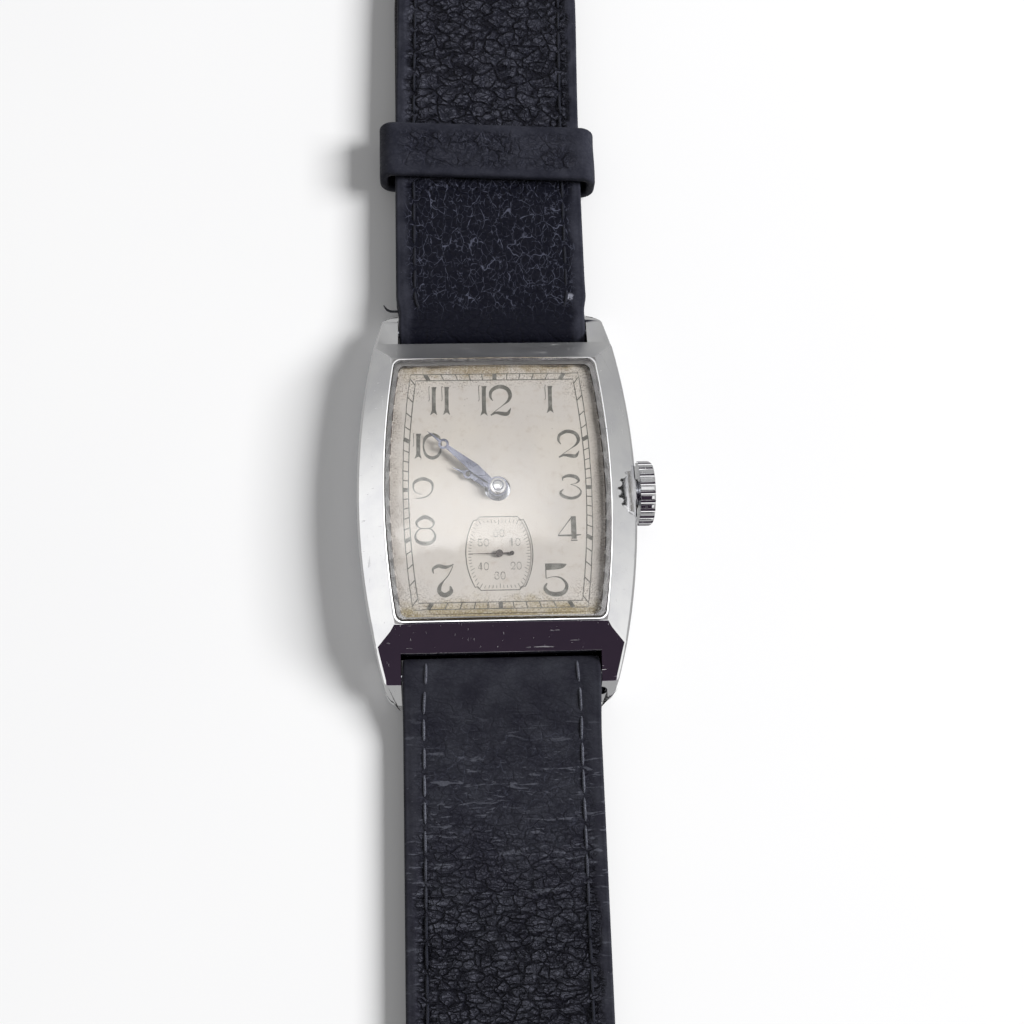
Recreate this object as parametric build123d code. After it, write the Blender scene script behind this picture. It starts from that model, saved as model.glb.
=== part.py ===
from build123d import *
import math
import os

# Tonneau wristwatch lying on its back with both straps laid out flat.
# Millimetres. +Z up through the dial, +Y towards 12, +X towards the crown at 3.
# The origin is the centre of the case back's flat outer face.

# Case plan
case_width = 26.2
case_length = 38.6
tip_width = 20.55
tip_corner_radius = 1.3
end_wall_y = 15.15
rim_width = 2.68
rim_corner_width = 2.53
opening_length = 25.1
opening_corner_radius = 0.7
lip_width = 0.22
lug_gap = 18.3

# Case heights
back_thickness = 0.7
back_skirt_height = 1.2
side_edge_z = 4.6
bevel_top_z = 6.2
lip_top_z = 6.4
end_facet_foot_z = 4.2
lug_break_y = 17.75
lug_break_z = 3.55
lug_tip_z = 0.9
lug_low_z = 0.4

# Case walls and clearances
back_inset = 0.25
side_wall = 1.8
corner_wall = 1.45
cavity_length = 26.6
back_wall = 0.55
back_wall_top_z = 3.0
fit_gap = 0.03
running_gap = 0.03
cut_overrun = 1.0
notch_radius = 0.55

# Crystal
crystal_seat_z = 5.9
crystal_ledge = 0.4
crystal_wall = 0.55
crystal_top_thickness = 0.8
crystal_peak_z = 7.7
crystal_dome_radius = 120.0

# Dial and hands
dial_bottom_z = 5.15
dial_thickness = 0.35
dial_margin = 0.15
dial_centre_hole_radius = 1.2
dial_foot_radius = 0.35
dial_foot_x = 8.9
dial_foot_y = 9.0
dial_foot_length = 0.75
seconds_sink_depth = 0.06
seconds_sink_width = 5.9
seconds_sink_end_width = 4.1
seconds_sink_length = 6.6
hand_thickness = 0.09
hour_hand_z = 5.8
minute_hand_z = 6.12
seconds_hand_z = 5.62
hour_hand_length = 4.7
hour_ring_at = 3.05
hour_ring_radius = 0.42
minute_hand_length = 8.5
minute_ring_at = 6.5
minute_ring_radius = 0.5
hand_hub_radius = 0.95
hour_blade_width = 1.0
minute_blade_width = 0.95
hand_neck_width = 0.3
blade_widest_share = 0.42
ring_hole_share = 0.55
hub_cap_radius = 0.62
hub_cap_height = 0.35
seconds_hand_length = 2.8
seconds_tail_length = 1.15
seconds_hand_width = 0.14
seconds_ball_radius = 0.2
seconds_hub_radius = 0.32
shown_hour = 9
shown_minute = 51
shown_second = 45

# Movement frame
plate_side_gap = 0.6
plate_end_gap = 0.7
plate_bottom_z = 3.4
plate_thickness = 1.2
bridge_bottom_z = 1.2
bridge_thickness = 0.7
cock_thickness = 0.4
pallet_cock_z = 2.5
pallet_cock_thickness = 0.25
pallet_cock_width = 1.3
balance_cock_width = 3.0
foot_radius = 1.0
small_foot_radius = 0.6
screw_shank_radius = 0.3
screw_head_radius = 0.62
screw_head_height = 0.2
screw_slot_width = 0.14
screw_slot_depth = 0.09
screw_depth_in_plate = 0.8
barrel_foot_shares = [(-0.682, 0.469), (0.766, 0.516), (0.813, -0.137)]
train_foot_shares = [(0.673, -0.508), (0.318, -0.828), (-0.318, -0.883)]
balance_foot_shares = (-0.71, -0.523)
pallet_foot_shares = (-0.561, -0.711)
barrel_edge_shares = [
    (-1.03, 0.109),
    (-0.112, 0.109),
    (-0.112, -0.086),
    (0.14, -0.086),
    (0.14, -0.227),
    (1.03, -0.227),
    (1.03, 1.02),
    (-1.03, 1.02),
]
train_edge_shares = [
    (-0.402, -1.02),
    (-0.402, -0.563),
    (-0.215, -0.516),
    (-0.056, -0.383),
    (0.028, -0.242),
    (1.03, -0.242),
    (1.03, -1.02),
]
jewel_radius = 0.5
jewel_thickness = 0.25
pivot_radius = 0.1
arbor_radius = 0.2

# Going train
barrel_x = 0.6
barrel_y = 5.6
seconds_y = -6.25
barrel_teeth = 78
centre_pinion_teeth = 12
centre_teeth = 80
third_pinion_teeth = 10
third_teeth = 75
fourth_pinion_teeth = 10
fourth_teeth = 80
escape_pinion_teeth = 8
escape_teeth = 15
centre_module = 0.09
third_module = 0.085
fourth_module = 0.075
wheel_thickness = 0.14
pinion_height = 0.4
barrel_gear_z = 2.0
barrel_gear_thickness = 0.3
barrel_top_z = 3.05
barrel_drum_radius = 4.7
barrel_wall = 0.3
barrel_floor = 0.15
barrel_arbor_radius = 0.95
barrel_pivot_radius = 0.7
barrel_lid_thickness = 0.15
mainspring_thickness = 0.1
mainspring_turns = 7
centre_wheel_z = 3.12
third_wheel_z = 2.76
fourth_wheel_z = 2.45
escape_wheel_z = 2.87
escape_radius = 2.05
escape_root_radius = 1.6
escape_direction_deg = 206.5
centre_arbor_radius = 0.35
seconds_pivot_radius = 0.16
wheel_holes = 5
hole_ring_share = 0.58
hole_size_share = 0.22
escape_heel_share = 0.5
escape_toe_share = 0.64
escape_back_share = 0.42
tooth_addendum_share = 0.85
tooth_dedendum_share = 1.2
tooth_tip_share = 0.15
tooth_root_share = 0.36

# Lever escapement and balance
escape_to_pallet = 2.42
pallet_to_balance = 3.1
escapement_line_deg = 103.9
fork_width = 0.45
fork_notch_width = 0.27
fork_head_width = 1.0
stone_span_deg = 30.0
stone_width = 0.22
stone_length = 0.5
stone_reach = 0.05
balance_radius = 3.75
balance_rim_width = 0.4
balance_rim_z = 1.95
balance_rim_height = 0.4
balance_arm_width = 0.55
balance_arm_thickness = 0.15
balance_screw_radius = 0.16
balance_screw_length = 0.25
balance_screws = 12
staff_radius = 0.25
staff_collet_radius = 0.45
roller_radius = 0.75
roller_z = 2.5
roller_thickness = 0.18
impulse_pin_radius = 0.11
impulse_pin_at = 0.55
impulse_pin_end_z = 3.08
hairspring_z = 1.7
hairspring_height = 0.13
hairspring_thickness = 0.06
hairspring_turns = 6
hairspring_pitch = 0.24
regulator_ring_radius = 0.95
regulator_length = 2.3
regulator_thickness = 0.12

# Motion work
cannon_teeth = 12
minute_wheel_teeth = 36
minute_pinion_teeth = 10
hour_wheel_teeth = 40
setting_wheel_teeth = 20
motion_module = 0.12
setting_wheel_x = 3.3
motion_lower_z = 4.66
motion_lower_thickness = 0.2
motion_upper_z = 4.9
motion_upper_thickness = 0.16
cannon_pipe_radius = 0.6
hour_pipe_wall = 0.25

# Winding work
stem_z = 3.3
stem_radius = 0.6
stem_pilot_radius = 0.35
stem_square = 0.8
stem_groove_radius = 0.38
stem_inner_x = 4.1
stem_square_x = 4.9
clutch_x = 4.95
clutch_length = 1.2
clutch_radius = 1.4
clutch_groove_radius = 0.95
clutch_groove_width = 0.3
clutch_teeth = 20
winding_pinion_x = 6.25
winding_pinion_length = 0.8
winding_pinion_teeth = 22
winding_module = 0.15
contrate_teeth = 30
contrate_wall = 0.4
crown_wheel_teeth = 34
ratchet_teeth = 56
winding_wheel_z = 0.95
winding_wheel_thickness = 0.2
crown_core_radius = 0.8
winding_screw_head_radius = 1.15
winding_screw_head_height = 0.13
ratchet_screw_depth = 0.4
stem_groove_x = 7.6
stem_groove_width = 0.3
lever_pin_radius = 0.1
lever_pivot_y = -2.4
lever_thickness = 0.18
lever_width = 0.7
crown_pull = 0.9
click_length = 2.2
click_width = 0.8
click_side_deg = 148.0
click_spring_radius = 0.09
click_lean_deg = 62.0
click_spring_lean_deg = -82.0
yoke_pivot_x = 8.4
yoke_pivot_y = 2.7

# Crown
crown_radius = 3.05
crown_gap = 0.2
crown_thickness = 1.42
crown_flutes = 22
crown_flute_radius = 0.3
crown_edge_radius = 0.45
crown_recess_radius = 1.4
crown_recess_depth = 0.6
crown_bore_radius = 0.45
crown_bore_depth = 0.45
tube_radius = 1.15
tube_bore_radius = 0.66
tube_length = 1.9
tube_in_crown = 0.45

# Straps
bar_y = 16.95
bar_z = 2.4
bar_radius = 0.7
bar_pin_radius = 0.4
bar_pin_length = 0.7
bar_end_gap = 0.15
loop_gap = 0.1
leather_thickness = 0.85
filler_thickness = 0.5
strap_width = 18.1
strap_end_width = 16.0
strap_straight_length = 30.0
layer_gap = 0.02
flap_length = 9.5
slope_length = 6.0
upper_strap_length = 70.0
upper_strap_lift = 1.0
lower_strap_length = 105.0
tip_length = 9.0
tip_flat_width = 5.0
tip_round_radius = 4.0
hole_count = 7
hole_pitch = 6.5
hole_radius = 1.0
first_hole_from_tip = 24.0
buckle_flap_length = 7.0
tongue_slot_width = 3.0
tongue_slot_length = 6.0

# Keepers and buckle
keeper_band = 0.85
keeper_length = 5.7
keeper_inner_width = 20.0
keeper_spare_height = 0.35
keeper_corner_radius = 1.5
loose_keeper_y = 36.1
fixed_keeper_from_bar = 8.0
buckle_bar_z = 2.1
buckle_bar_radius = 0.6
buckle_wire_radius = 0.85
buckle_inner_width = 17.2
buckle_depth = 9.5
buckle_corner_radius = 2.2
tongue_radius = 0.5
tongue_overhang = 0.7


def at(x, y, z):
    return Pos(x, y, z)


def disc(radius, bottom, top, place=(0, 0)):
    """Upright cylinder between two heights."""
    solid = Cylinder(radius, top - bottom, align=(Align.CENTER, Align.CENTER, Align.MIN))
    return at(*place, bottom) * solid


def rod(radius, start_x, end_x, y=0, z=0):
    """Cylinder along X between two stations."""
    solid = Cylinder(radius, end_x - start_x, align=(Align.CENTER, Align.CENTER, Align.MIN))
    return at(start_x, y, z) * Rot(Y=90) * solid


def slab(sketch, bottom, top):
    """A plan sketch raised between two heights."""
    return extrude(at(0, 0, bottom) * sketch, amount=top - bottom)


def block(x_range, y_range, z_range):
    """Box between two corners."""
    sizes = [high - low for low, high in (x_range, y_range, z_range)]
    solid = Box(*sizes, align=(Align.MIN, Align.MIN, Align.MIN))
    return at(x_range[0], y_range[0], z_range[0]) * solid


def direction(angle_deg):
    angle = math.radians(angle_deg)
    return math.cos(angle), math.sin(angle)


def from_point(point, angle_deg, distance):
    ux, uy = direction(angle_deg)
    return point[0] + distance * ux, point[1] + distance * uy


def angle_between(start, end):
    return math.degrees(math.atan2(end[1] - start[1], end[0] - start[0]))


def tonneau(width, end_width, length, corner_radius=0):
    """Plan outline with bowed long sides and straight ends."""
    half = width / 2
    end = end_width / 2
    reach = length / 2
    right = ThreePointArc((end, -reach), (half, 0), (end, reach))
    top = Line((end, reach), (-end, reach))
    left = ThreePointArc((-end, reach), (-half, 0), (-end, -reach))
    bottom = Line((-end, -reach), (end, -reach))
    outline = make_face([right, top, left, bottom])
    if corner_radius:
        outline = fillet(outline.vertices(), corner_radius)
    return outline


def bow_width_at(width, end_width, length, y):
    """Half width of a bowed outline at a distance from its middle."""
    drop = (width - end_width) / 2
    reach = length / 2
    radius = (reach**2 + drop**2) / (2 * drop)
    return width / 2 - radius + math.sqrt(radius**2 - y**2)


# Gear teeth
def gear_outline(teeth, module, phase_deg):
    """Trapezoid teeth with one tooth centred on the phase angle."""
    pitch_radius = module * teeth / 2
    tip = pitch_radius + tooth_addendum_share * module
    root = pitch_radius - tooth_dedendum_share * module
    step = 360 / teeth
    points = []
    for tooth in range(teeth):
        middle = phase_deg + tooth * step
        for radius, share in (
            (root, -tooth_root_share),
            (tip, -tooth_tip_share),
            (tip, tooth_tip_share),
            (root, tooth_root_share),
        ):
            ux, uy = direction(middle + share * step)
            points.append((radius * ux, radius * uy))
    return make_face(Polyline(*points, close=True))


def gear(teeth, module, bottom, top, place, phase_deg):
    return at(*place, 0) * slab(gear_outline(teeth, module, phase_deg), bottom, top)


def meshing_phase(phase_deg, line_deg, teeth, other_teeth):
    """Phase of the other gear so that its gap meets this gear's tooth."""
    return line_deg + 180 - (phase_deg - line_deg) * teeth / other_teeth - 180 / other_teeth


def lightened(wheel, radius, place, bottom, top):
    """A wheel with round holes between hub and rim."""
    hole_ring = radius * hole_ring_share
    for spoke in range(wheel_holes):
        centre = from_point(place, spoke * 360 / wheel_holes, hole_ring)
        wheel -= disc(radius * hole_size_share, bottom - cut_overrun, top + cut_overrun, centre)
    return wheel


def spiral_band(inner_radius, pitch, turns, thickness, bottom, top, place):
    """Flat strip wound in half-turn arcs that grow by half a pitch each."""
    inner_edges = []
    outer_edges = []
    radius = inner_radius
    centre_x = 0
    for half_turn in range(2 * turns):
        side = 1 if half_turn % 2 == 0 else -1
        for edges, offset in ((inner_edges, -thickness / 2), (outer_edges, thickness / 2)):
            start = (centre_x + side * (radius + offset), 0)
            middle = (centre_x, side * (radius + offset))
            end = (centre_x - side * (radius + offset), 0)
            edges.append(ThreePointArc(start, middle, end))
        centre_x += side * pitch / 2
        radius += pitch / 2
    first_cap = Line(outer_edges[0] @ 0, inner_edges[0] @ 0)
    last_cap = Line(inner_edges[-1] @ 1, outer_edges[-1] @ 1)
    strip = make_face(inner_edges + [last_cap] + outer_edges + [first_cap])
    return at(*place, 0) * slab(strip, bottom, top)


# Case sizes worked out from the driving sizes
case_sizes = (case_width, tip_width, case_length)
opening_width = case_width - 2 * rim_width
opening_end_width = 2 * (bow_width_at(*case_sizes, opening_length / 2) - rim_corner_width)
cavity_width = case_width - 2 * side_wall
cavity_end_width = 2 * (bow_width_at(*case_sizes, cavity_length / 2) - corner_wall)
plate_width = cavity_width - 2 * plate_side_gap
plate_end_width = cavity_end_width - 2 * plate_side_gap
plate_length = cavity_length - 2 * plate_end_gap
crown_inner_x = case_width / 2 + crown_gap
tube_outer_x = crown_inner_x + tube_in_crown


def on_plate(shares):
    """Place given as shares of the main plate's half width and half length."""
    return shares[0] * plate_width / 2, shares[1] * plate_length / 2


# Movement places worked out from the driving sizes
plate_top_z = plate_bottom_z + plate_thickness
bridge_top_z = bridge_bottom_z + bridge_thickness
dial_top_z = dial_bottom_z + dial_thickness
centre_at = (0, 0)
barrel_at = (barrel_x, barrel_y)
yoke_pivot = (yoke_pivot_x, yoke_pivot_y)
fourth_at = (0, seconds_y)
barrel_distance = math.hypot(*barrel_at)
barrel_module = 2 * barrel_distance / (barrel_teeth + centre_pinion_teeth)
centre_to_third = centre_module * (centre_teeth + third_pinion_teeth) / 2
third_to_fourth = third_module * (third_teeth + fourth_pinion_teeth) / 2
third_y = (centre_to_third**2 - third_to_fourth**2 + seconds_y**2) / (2 * seconds_y)
third_at = (math.sqrt(centre_to_third**2 - third_y**2), third_y)
fourth_to_escape = fourth_module * (fourth_teeth + escape_pinion_teeth) / 2
escape_at = from_point(fourth_at, escape_direction_deg, fourth_to_escape)
pallet_at = from_point(escape_at, escapement_line_deg, escape_to_pallet)
balance_at = from_point(pallet_at, escapement_line_deg, pallet_to_balance)
minute_distance = motion_module * (cannon_teeth + minute_wheel_teeth) / 2
setting_distance = motion_module * (minute_wheel_teeth + setting_wheel_teeth) / 2
hour_module = 2 * minute_distance / (minute_pinion_teeth + hour_wheel_teeth)
minute_x = (minute_distance**2 - setting_distance**2 + setting_wheel_x**2) / (2 * setting_wheel_x)
minute_at = (minute_x, -math.sqrt(minute_distance**2 - minute_x**2))
setting_at = (setting_wheel_x, 0)
contrate_radius = winding_module * contrate_teeth / 2
winding_pinion_radius = winding_module * winding_pinion_teeth / 2
crown_wheel_at = (winding_pinion_x + winding_pinion_length / 2 - contrate_radius, 0)
ratchet_distance = math.dist(crown_wheel_at, barrel_at)
ratchet_module = 2 * ratchet_distance / (crown_wheel_teeth + ratchet_teeth)
lever_pin_x = stem_groove_x + stem_groove_width / 2
lever_pivot = (lever_pin_x + crown_pull / 2, lever_pivot_y)
balance_foot = on_plate(balance_foot_shares)
pallet_foot = on_plate(pallet_foot_shares)
barrel_bridge_feet = [on_plate(shares) for shares in barrel_foot_shares]
train_bridge_feet = [on_plate(shares) for shares in train_foot_shares]
barrel_bridge_edge = [on_plate(shares) for shares in barrel_edge_shares]
train_bridge_edge = [on_plate(shares) for shares in train_edge_shares]


# Case
def case_plan():
    return tonneau(*case_sizes, tip_corner_radius)


def make_case_top():
    lip_outline_width = opening_width + 2 * lip_width
    lip_end_width = opening_end_width + 2 * lip_width
    lip_length = opening_length + 2 * lip_width
    tip_y = case_length / 2

    # side facets: a ruled frame between the outer outline and the lip
    bow = slab(case_plan(), lug_low_z, side_edge_z)
    upper_end_width = 2 * bow_width_at(lip_outline_width, lip_end_width, lip_length, tip_y)
    lower = at(0, 0, side_edge_z) * tonneau(*case_sizes)
    upper = at(0, 0, bevel_top_z) * tonneau(lip_outline_width, upper_end_width, case_length)
    frame = loft([lower, upper], ruled=True)
    lip = slab(
        tonneau(lip_outline_width, lip_end_width, lip_length, opening_corner_radius + lip_width),
        bevel_top_z - lip_width,
        lip_top_z,
    )

    # end facets and lug tops: one profile along the length
    profile_points = [
        (-tip_y, lug_low_z),
        (-end_wall_y, lug_low_z),
        (-end_wall_y, back_skirt_height),
        (end_wall_y, back_skirt_height),
        (end_wall_y, lug_low_z),
        (tip_y, lug_low_z),
        (tip_y, lug_tip_z),
        (lug_break_y, lug_break_z),
        (end_wall_y, end_facet_foot_z),
        (lip_length / 2, bevel_top_z),
        (-lip_length / 2, bevel_top_z),
        (-end_wall_y, end_facet_foot_z),
        (-lug_break_y, lug_break_z),
        (-tip_y, lug_tip_z),
    ]
    profile = Plane.YZ * make_face(Polyline(*profile_points, close=True))
    envelope = extrude(profile, amount=case_width, both=True)
    body = ((bow + frame) & envelope) + lip
    tip_trim = slab(case_plan(), lug_low_z, lip_top_z)
    body = body & tip_trim

    # openings for crystal, dial and movement
    opening = tonneau(opening_width, opening_end_width, opening_length, opening_corner_radius)
    ledge_opening = tonneau(
        opening_width - 2 * crystal_ledge,
        opening_end_width - 2 * crystal_ledge,
        opening_length - 2 * crystal_ledge,
        opening_corner_radius,
    )
    cavity = tonneau(cavity_width, cavity_end_width, cavity_length, opening_corner_radius)
    body -= slab(opening, crystal_seat_z, lip_top_z + cut_overrun)
    body -= slab(ledge_opening, back_skirt_height, crystal_seat_z + cut_overrun)
    body -= slab(cavity, back_skirt_height - cut_overrun, dial_top_z + fit_gap)

    # room between the lugs, spring bar holes, tool notch and tube hole
    for side in (-1, 1):
        near, far = sorted((side * end_wall_y, side * (tip_y + cut_overrun)))
        body -= block((-lug_gap / 2, lug_gap / 2), (near, far), (0, lip_top_z))
        pin_reach = lug_gap / 2 + bar_pin_length
        body -= rod(bar_pin_radius + fit_gap, -pin_reach, pin_reach, side * bar_y, bar_z)
    notch_z = (lug_break_z + lug_tip_z) / 2
    notch_at = (lug_gap / 2, -(lug_break_y + tip_y) / 2, notch_z)
    body -= at(*notch_at) * Sphere(notch_radius)
    body -= rod(tube_radius + fit_gap, cavity_width / 2 - cut_overrun, case_width, 0, stem_z)
    return body


def make_case_back():
    outer = tonneau(
        case_width - 2 * back_inset,
        2 * bow_width_at(*case_sizes, end_wall_y) - 2 * back_inset,
        2 * (end_wall_y - back_inset),
        tip_corner_radius,
    )
    wall_gap = 2 * fit_gap
    wall_outline = tonneau(
        cavity_width - wall_gap,
        cavity_end_width - wall_gap,
        cavity_length - wall_gap,
        opening_corner_radius,
    )
    room = tonneau(
        cavity_width - wall_gap - 2 * back_wall,
        cavity_end_width - wall_gap - 2 * back_wall,
        cavity_length - wall_gap - 2 * back_wall,
        opening_corner_radius,
    )
    dish = slab(outer, 0, back_skirt_height)
    dish = chamfer(dish.faces().sort_by(Axis.Z)[0].edges(), back_inset)
    dish += slab(wall_outline, back_skirt_height, back_wall_top_z)
    dish -= slab(room, back_thickness, back_wall_top_z + cut_overrun)
    dish -= rod(tube_radius + fit_gap, plate_width / 4, case_width, 0, stem_z)
    return dish


def make_crystal():
    outline = tonneau(
        opening_width - 2 * fit_gap,
        opening_end_width - 2 * fit_gap,
        opening_length - 2 * fit_gap,
        opening_corner_radius,
    )
    inner = tonneau(
        opening_width - 2 * crystal_wall,
        opening_end_width - 2 * crystal_wall,
        opening_length - 2 * crystal_wall,
        opening_corner_radius,
    )
    centre_z = crystal_peak_z - crystal_dome_radius
    outside = slab(outline, crystal_seat_z, crystal_peak_z)
    outside &= at(0, 0, centre_z) * Sphere(crystal_dome_radius)
    inside = slab(inner, crystal_seat_z - cut_overrun, crystal_peak_z)
    inside &= at(0, 0, centre_z) * Sphere(crystal_dome_radius - crystal_top_thickness)
    return outside - inside


def make_dial():
    outline = tonneau(
        cavity_width - 2 * dial_margin,
        cavity_end_width - 2 * dial_margin,
        cavity_length - 2 * dial_margin,
        opening_corner_radius,
    )
    dial = slab(outline, dial_bottom_z, dial_top_z)
    sink = at(0, seconds_y, 0) * tonneau(
        seconds_sink_width, seconds_sink_end_width, seconds_sink_length
    )
    dial -= slab(sink, dial_top_z - seconds_sink_depth, dial_top_z + cut_overrun)
    low, high = dial_bottom_z - cut_overrun, dial_top_z + cut_overrun
    dial -= disc(dial_centre_hole_radius, low, high)
    dial -= disc(seconds_pivot_radius + 2 * running_gap, low, high, fourth_at)
    for side in (-1, 1):
        foot_place = (-side * dial_foot_x, side * dial_foot_y)
        dial += disc(dial_foot_radius, dial_bottom_z - dial_foot_length, dial_bottom_z, foot_place)
    return dial


# Hands
def hand_face(length, ring_at, ring_radius, blade_width):
    """Blade, hollow ring and point, drawn along +Y from the hub."""
    widest = ring_at * blade_widest_share
    neck = hand_neck_width / 2
    half = blade_width / 2
    blade = Polyline(
        (-neck, 0), (-half, widest), (-neck, ring_at),
        (neck, ring_at), (half, widest), (neck, 0), close=True,
    )
    tip_start = ring_at + ring_radius * ring_hole_share
    point = Polyline((-neck, tip_start), (0, length), (neck, tip_start), close=True)
    face = make_face(blade) + make_face(point) + Pos(0, ring_at) * Circle(ring_radius)
    face += Circle(hand_hub_radius)
    return face - Pos(0, ring_at) * Circle(ring_radius * ring_hole_share)


def make_minute_hand(turn_deg):
    face = hand_face(minute_hand_length, minute_ring_at, minute_ring_radius, minute_blade_width)
    hand = slab(face, minute_hand_z, minute_hand_z + hand_thickness)
    cap_top = minute_hand_z + hand_thickness + hub_cap_height
    cap = disc(hub_cap_radius, minute_hand_z, cap_top)
    cap = fillet(cap.faces().sort_by(Axis.Z)[-1].edges(), hub_cap_height / 2)
    hand += cap
    hole_top = minute_hand_z + hand_thickness
    hand -= disc(centre_arbor_radius + running_gap, minute_hand_z - cut_overrun, hole_top)
    return Rot(Z=-turn_deg) * hand


def make_hour_hand(turn_deg):
    face = hand_face(hour_hand_length, hour_ring_at, hour_ring_radius, hour_blade_width)
    hand = slab(face, hour_hand_z, hour_hand_z + hand_thickness)
    hole_low, hole_high = hour_hand_z - cut_overrun, hour_hand_z + cut_overrun
    hand -= disc(cannon_pipe_radius + running_gap, hole_low, hole_high)
    return Rot(Z=-turn_deg) * hand


def make_seconds_hand(turn_deg):
    half = seconds_hand_width / 2
    pointer = Polyline(
        (-half, -seconds_tail_length), (0, seconds_hand_length), (half, -seconds_tail_length), close=True
    )
    face = make_face(pointer) + Circle(seconds_hub_radius)
    face += Pos(0, -seconds_tail_length) * Circle(seconds_ball_radius)
    hand = slab(face, seconds_hand_z, seconds_hand_z + hand_thickness)
    hub_low = dial_top_z - seconds_sink_depth / 2
    hand += disc(seconds_hub_radius, hub_low, seconds_hand_z + 2 * hand_thickness)
    hand -= disc(seconds_pivot_radius, hub_low - cut_overrun, seconds_hand_z + hand_thickness)
    return at(*fourth_at, 0) * Rot(Z=-turn_deg) * hand


# Movement frame
def jewel_seats():
    """Where the pivots run: place, bottom of the jewel, pivot radius."""
    upper = plate_bottom_z
    lower = bridge_top_z - jewel_thickness
    cock_low = bridge_bottom_z + cock_thickness - jewel_thickness
    pallet_low = pallet_cock_z
    return [
        (third_at, upper, pivot_radius),
        (fourth_at, upper, seconds_pivot_radius),
        (escape_at, upper, pivot_radius),
        (pallet_at, upper, pivot_radius),
        (balance_at, upper, pivot_radius),
        (third_at, lower, pivot_radius),
        (fourth_at, lower, pivot_radius),
        (escape_at, lower, pivot_radius),
        (balance_at, cock_low, pivot_radius),
        (pallet_at, pallet_low, pivot_radius),
    ]


def make_jewels():
    rings = []
    for place, bottom, bore in jewel_seats():
        top = bottom + jewel_thickness
        ring = disc(jewel_radius, bottom, top, place)
        ring -= disc(bore + running_gap, bottom - cut_overrun, top + cut_overrun, place)
        rings.append(ring)
    return rings


def seat_jewels(frame_piece):
    """Cut the jewel seats and pivot holes that fall in a frame piece."""
    for place, bottom, _ in jewel_seats():
        frame_piece -= disc(jewel_radius + fit_gap, bottom, bottom + jewel_thickness, place)
    return frame_piece


def all_screw_places():
    places = [(place, bridge_bottom_z) for place in barrel_bridge_feet + train_bridge_feet]
    places.append((balance_foot, bridge_bottom_z))
    places.append((pallet_foot, pallet_cock_z))
    return places


def make_bridge_screws():
    screws = []
    for place, seat_z in all_screw_places():
        head_low = seat_z - screw_head_height
        screw = disc(screw_head_radius, head_low, seat_z, place)
        screw += disc(screw_shank_radius, seat_z, plate_bottom_z + screw_depth_in_plate, place)
        reach = screw_head_radius + cut_overrun
        half = screw_slot_width / 2
        slot_z = (head_low - cut_overrun, head_low + screw_slot_depth)
        slot = block((-reach, reach), (-half, half), slot_z)
        screw -= at(*place, 0) * slot
        screws.append(screw)
    return screws


def drill_screws(frame_piece):
    for place, _ in all_screw_places():
        top = plate_bottom_z + screw_depth_in_plate + fit_gap
        frame_piece -= disc(screw_shank_radius + fit_gap, bridge_bottom_z - cut_overrun, top, place)
    return frame_piece


def frame_plan():
    return tonneau(plate_width, plate_end_width, plate_length, opening_corner_radius)


def make_main_plate():
    plate = slab(frame_plan(), plate_bottom_z, plate_top_z)
    plate = seat_jewels(plate)
    plate = drill_screws(plate)
    low, high = plate_bottom_z - cut_overrun, plate_top_z + cut_overrun
    plate -= disc(centre_arbor_radius + running_gap, low, high)
    plate -= disc(barrel_pivot_radius + running_gap, low, high, barrel_at)
    plate -= disc(seconds_pivot_radius + running_gap, low, high, fourth_at)
    for place in (third_at, escape_at, pallet_at, balance_at):
        plate -= disc(pivot_radius + running_gap, low, plate_top_z - jewel_thickness, place)
    room = winding_pinion_radius + winding_module + 2 * running_gap
    room_x = (stem_square_x - fit_gap, winding_pinion_x + winding_pinion_length + fit_gap)
    plate -= block(room_x, (-room, room), (low, high))
    plate -= rod(stem_radius + running_gap, room_x[0], case_width, 0, stem_z)
    plate -= rod(stem_pilot_radius + running_gap, stem_inner_x - fit_gap, room_x[1], 0, stem_z)
    slot_half = 3 * lever_pin_radius
    slot_x = (stem_groove_x, stem_groove_x + stem_groove_width + crown_pull)
    plate -= block(slot_x, (-slot_half, slot_half), (low, high))
    for side in (-1, 1):
        foot_place = (-side * dial_foot_x, side * dial_foot_y)
        plate -= disc(dial_foot_radius + fit_gap, low, high, foot_place)
    for place in (minute_at, setting_at, lever_pivot, yoke_pivot):
        plate -= disc(arbor_radius + running_gap, plate_bottom_z + plate_thickness / 2, high, place)
    return plate


def bridge_from(edge_points, feet):
    outline = frame_plan() & make_face(Polyline(*edge_points, close=True))
    piece = slab(outline, bridge_bottom_z, bridge_top_z)
    for place in feet:
        piece += disc(foot_radius, bridge_bottom_z, plate_bottom_z, place)
    return piece


def make_barrel_bridge():
    bridge = bridge_from(barrel_bridge_edge, barrel_bridge_feet)
    bridge = drill_screws(bridge)
    low, high = bridge_bottom_z - cut_overrun, bridge_top_z + cut_overrun
    bridge -= disc(barrel_pivot_radius + running_gap, low, high, barrel_at)
    bridge -= disc(pivot_radius + running_gap, low, high)
    groove_outer = contrate_radius + contrate_wall / 2 + 2 * running_gap
    groove_inner = contrate_radius - contrate_wall / 2 - 2 * running_gap
    groove_top = stem_z - winding_pinion_radius + winding_module + running_gap
    groove = disc(groove_outer, low, groove_top, crown_wheel_at)
    groove -= disc(groove_inner, low - cut_overrun, high, crown_wheel_at)
    bridge -= groove
    bridge -= disc(crown_core_radius / 2 + fit_gap, low, high, crown_wheel_at)
    room = winding_pinion_radius + winding_module + 2 * running_gap
    room_end = winding_pinion_x + winding_pinion_length + fit_gap
    bridge -= rod(room, winding_pinion_x - fit_gap, room_end, 0, stem_z)
    bridge -= disc(arbor_radius + running_gap, low, high, click_at)
    return bridge


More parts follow.
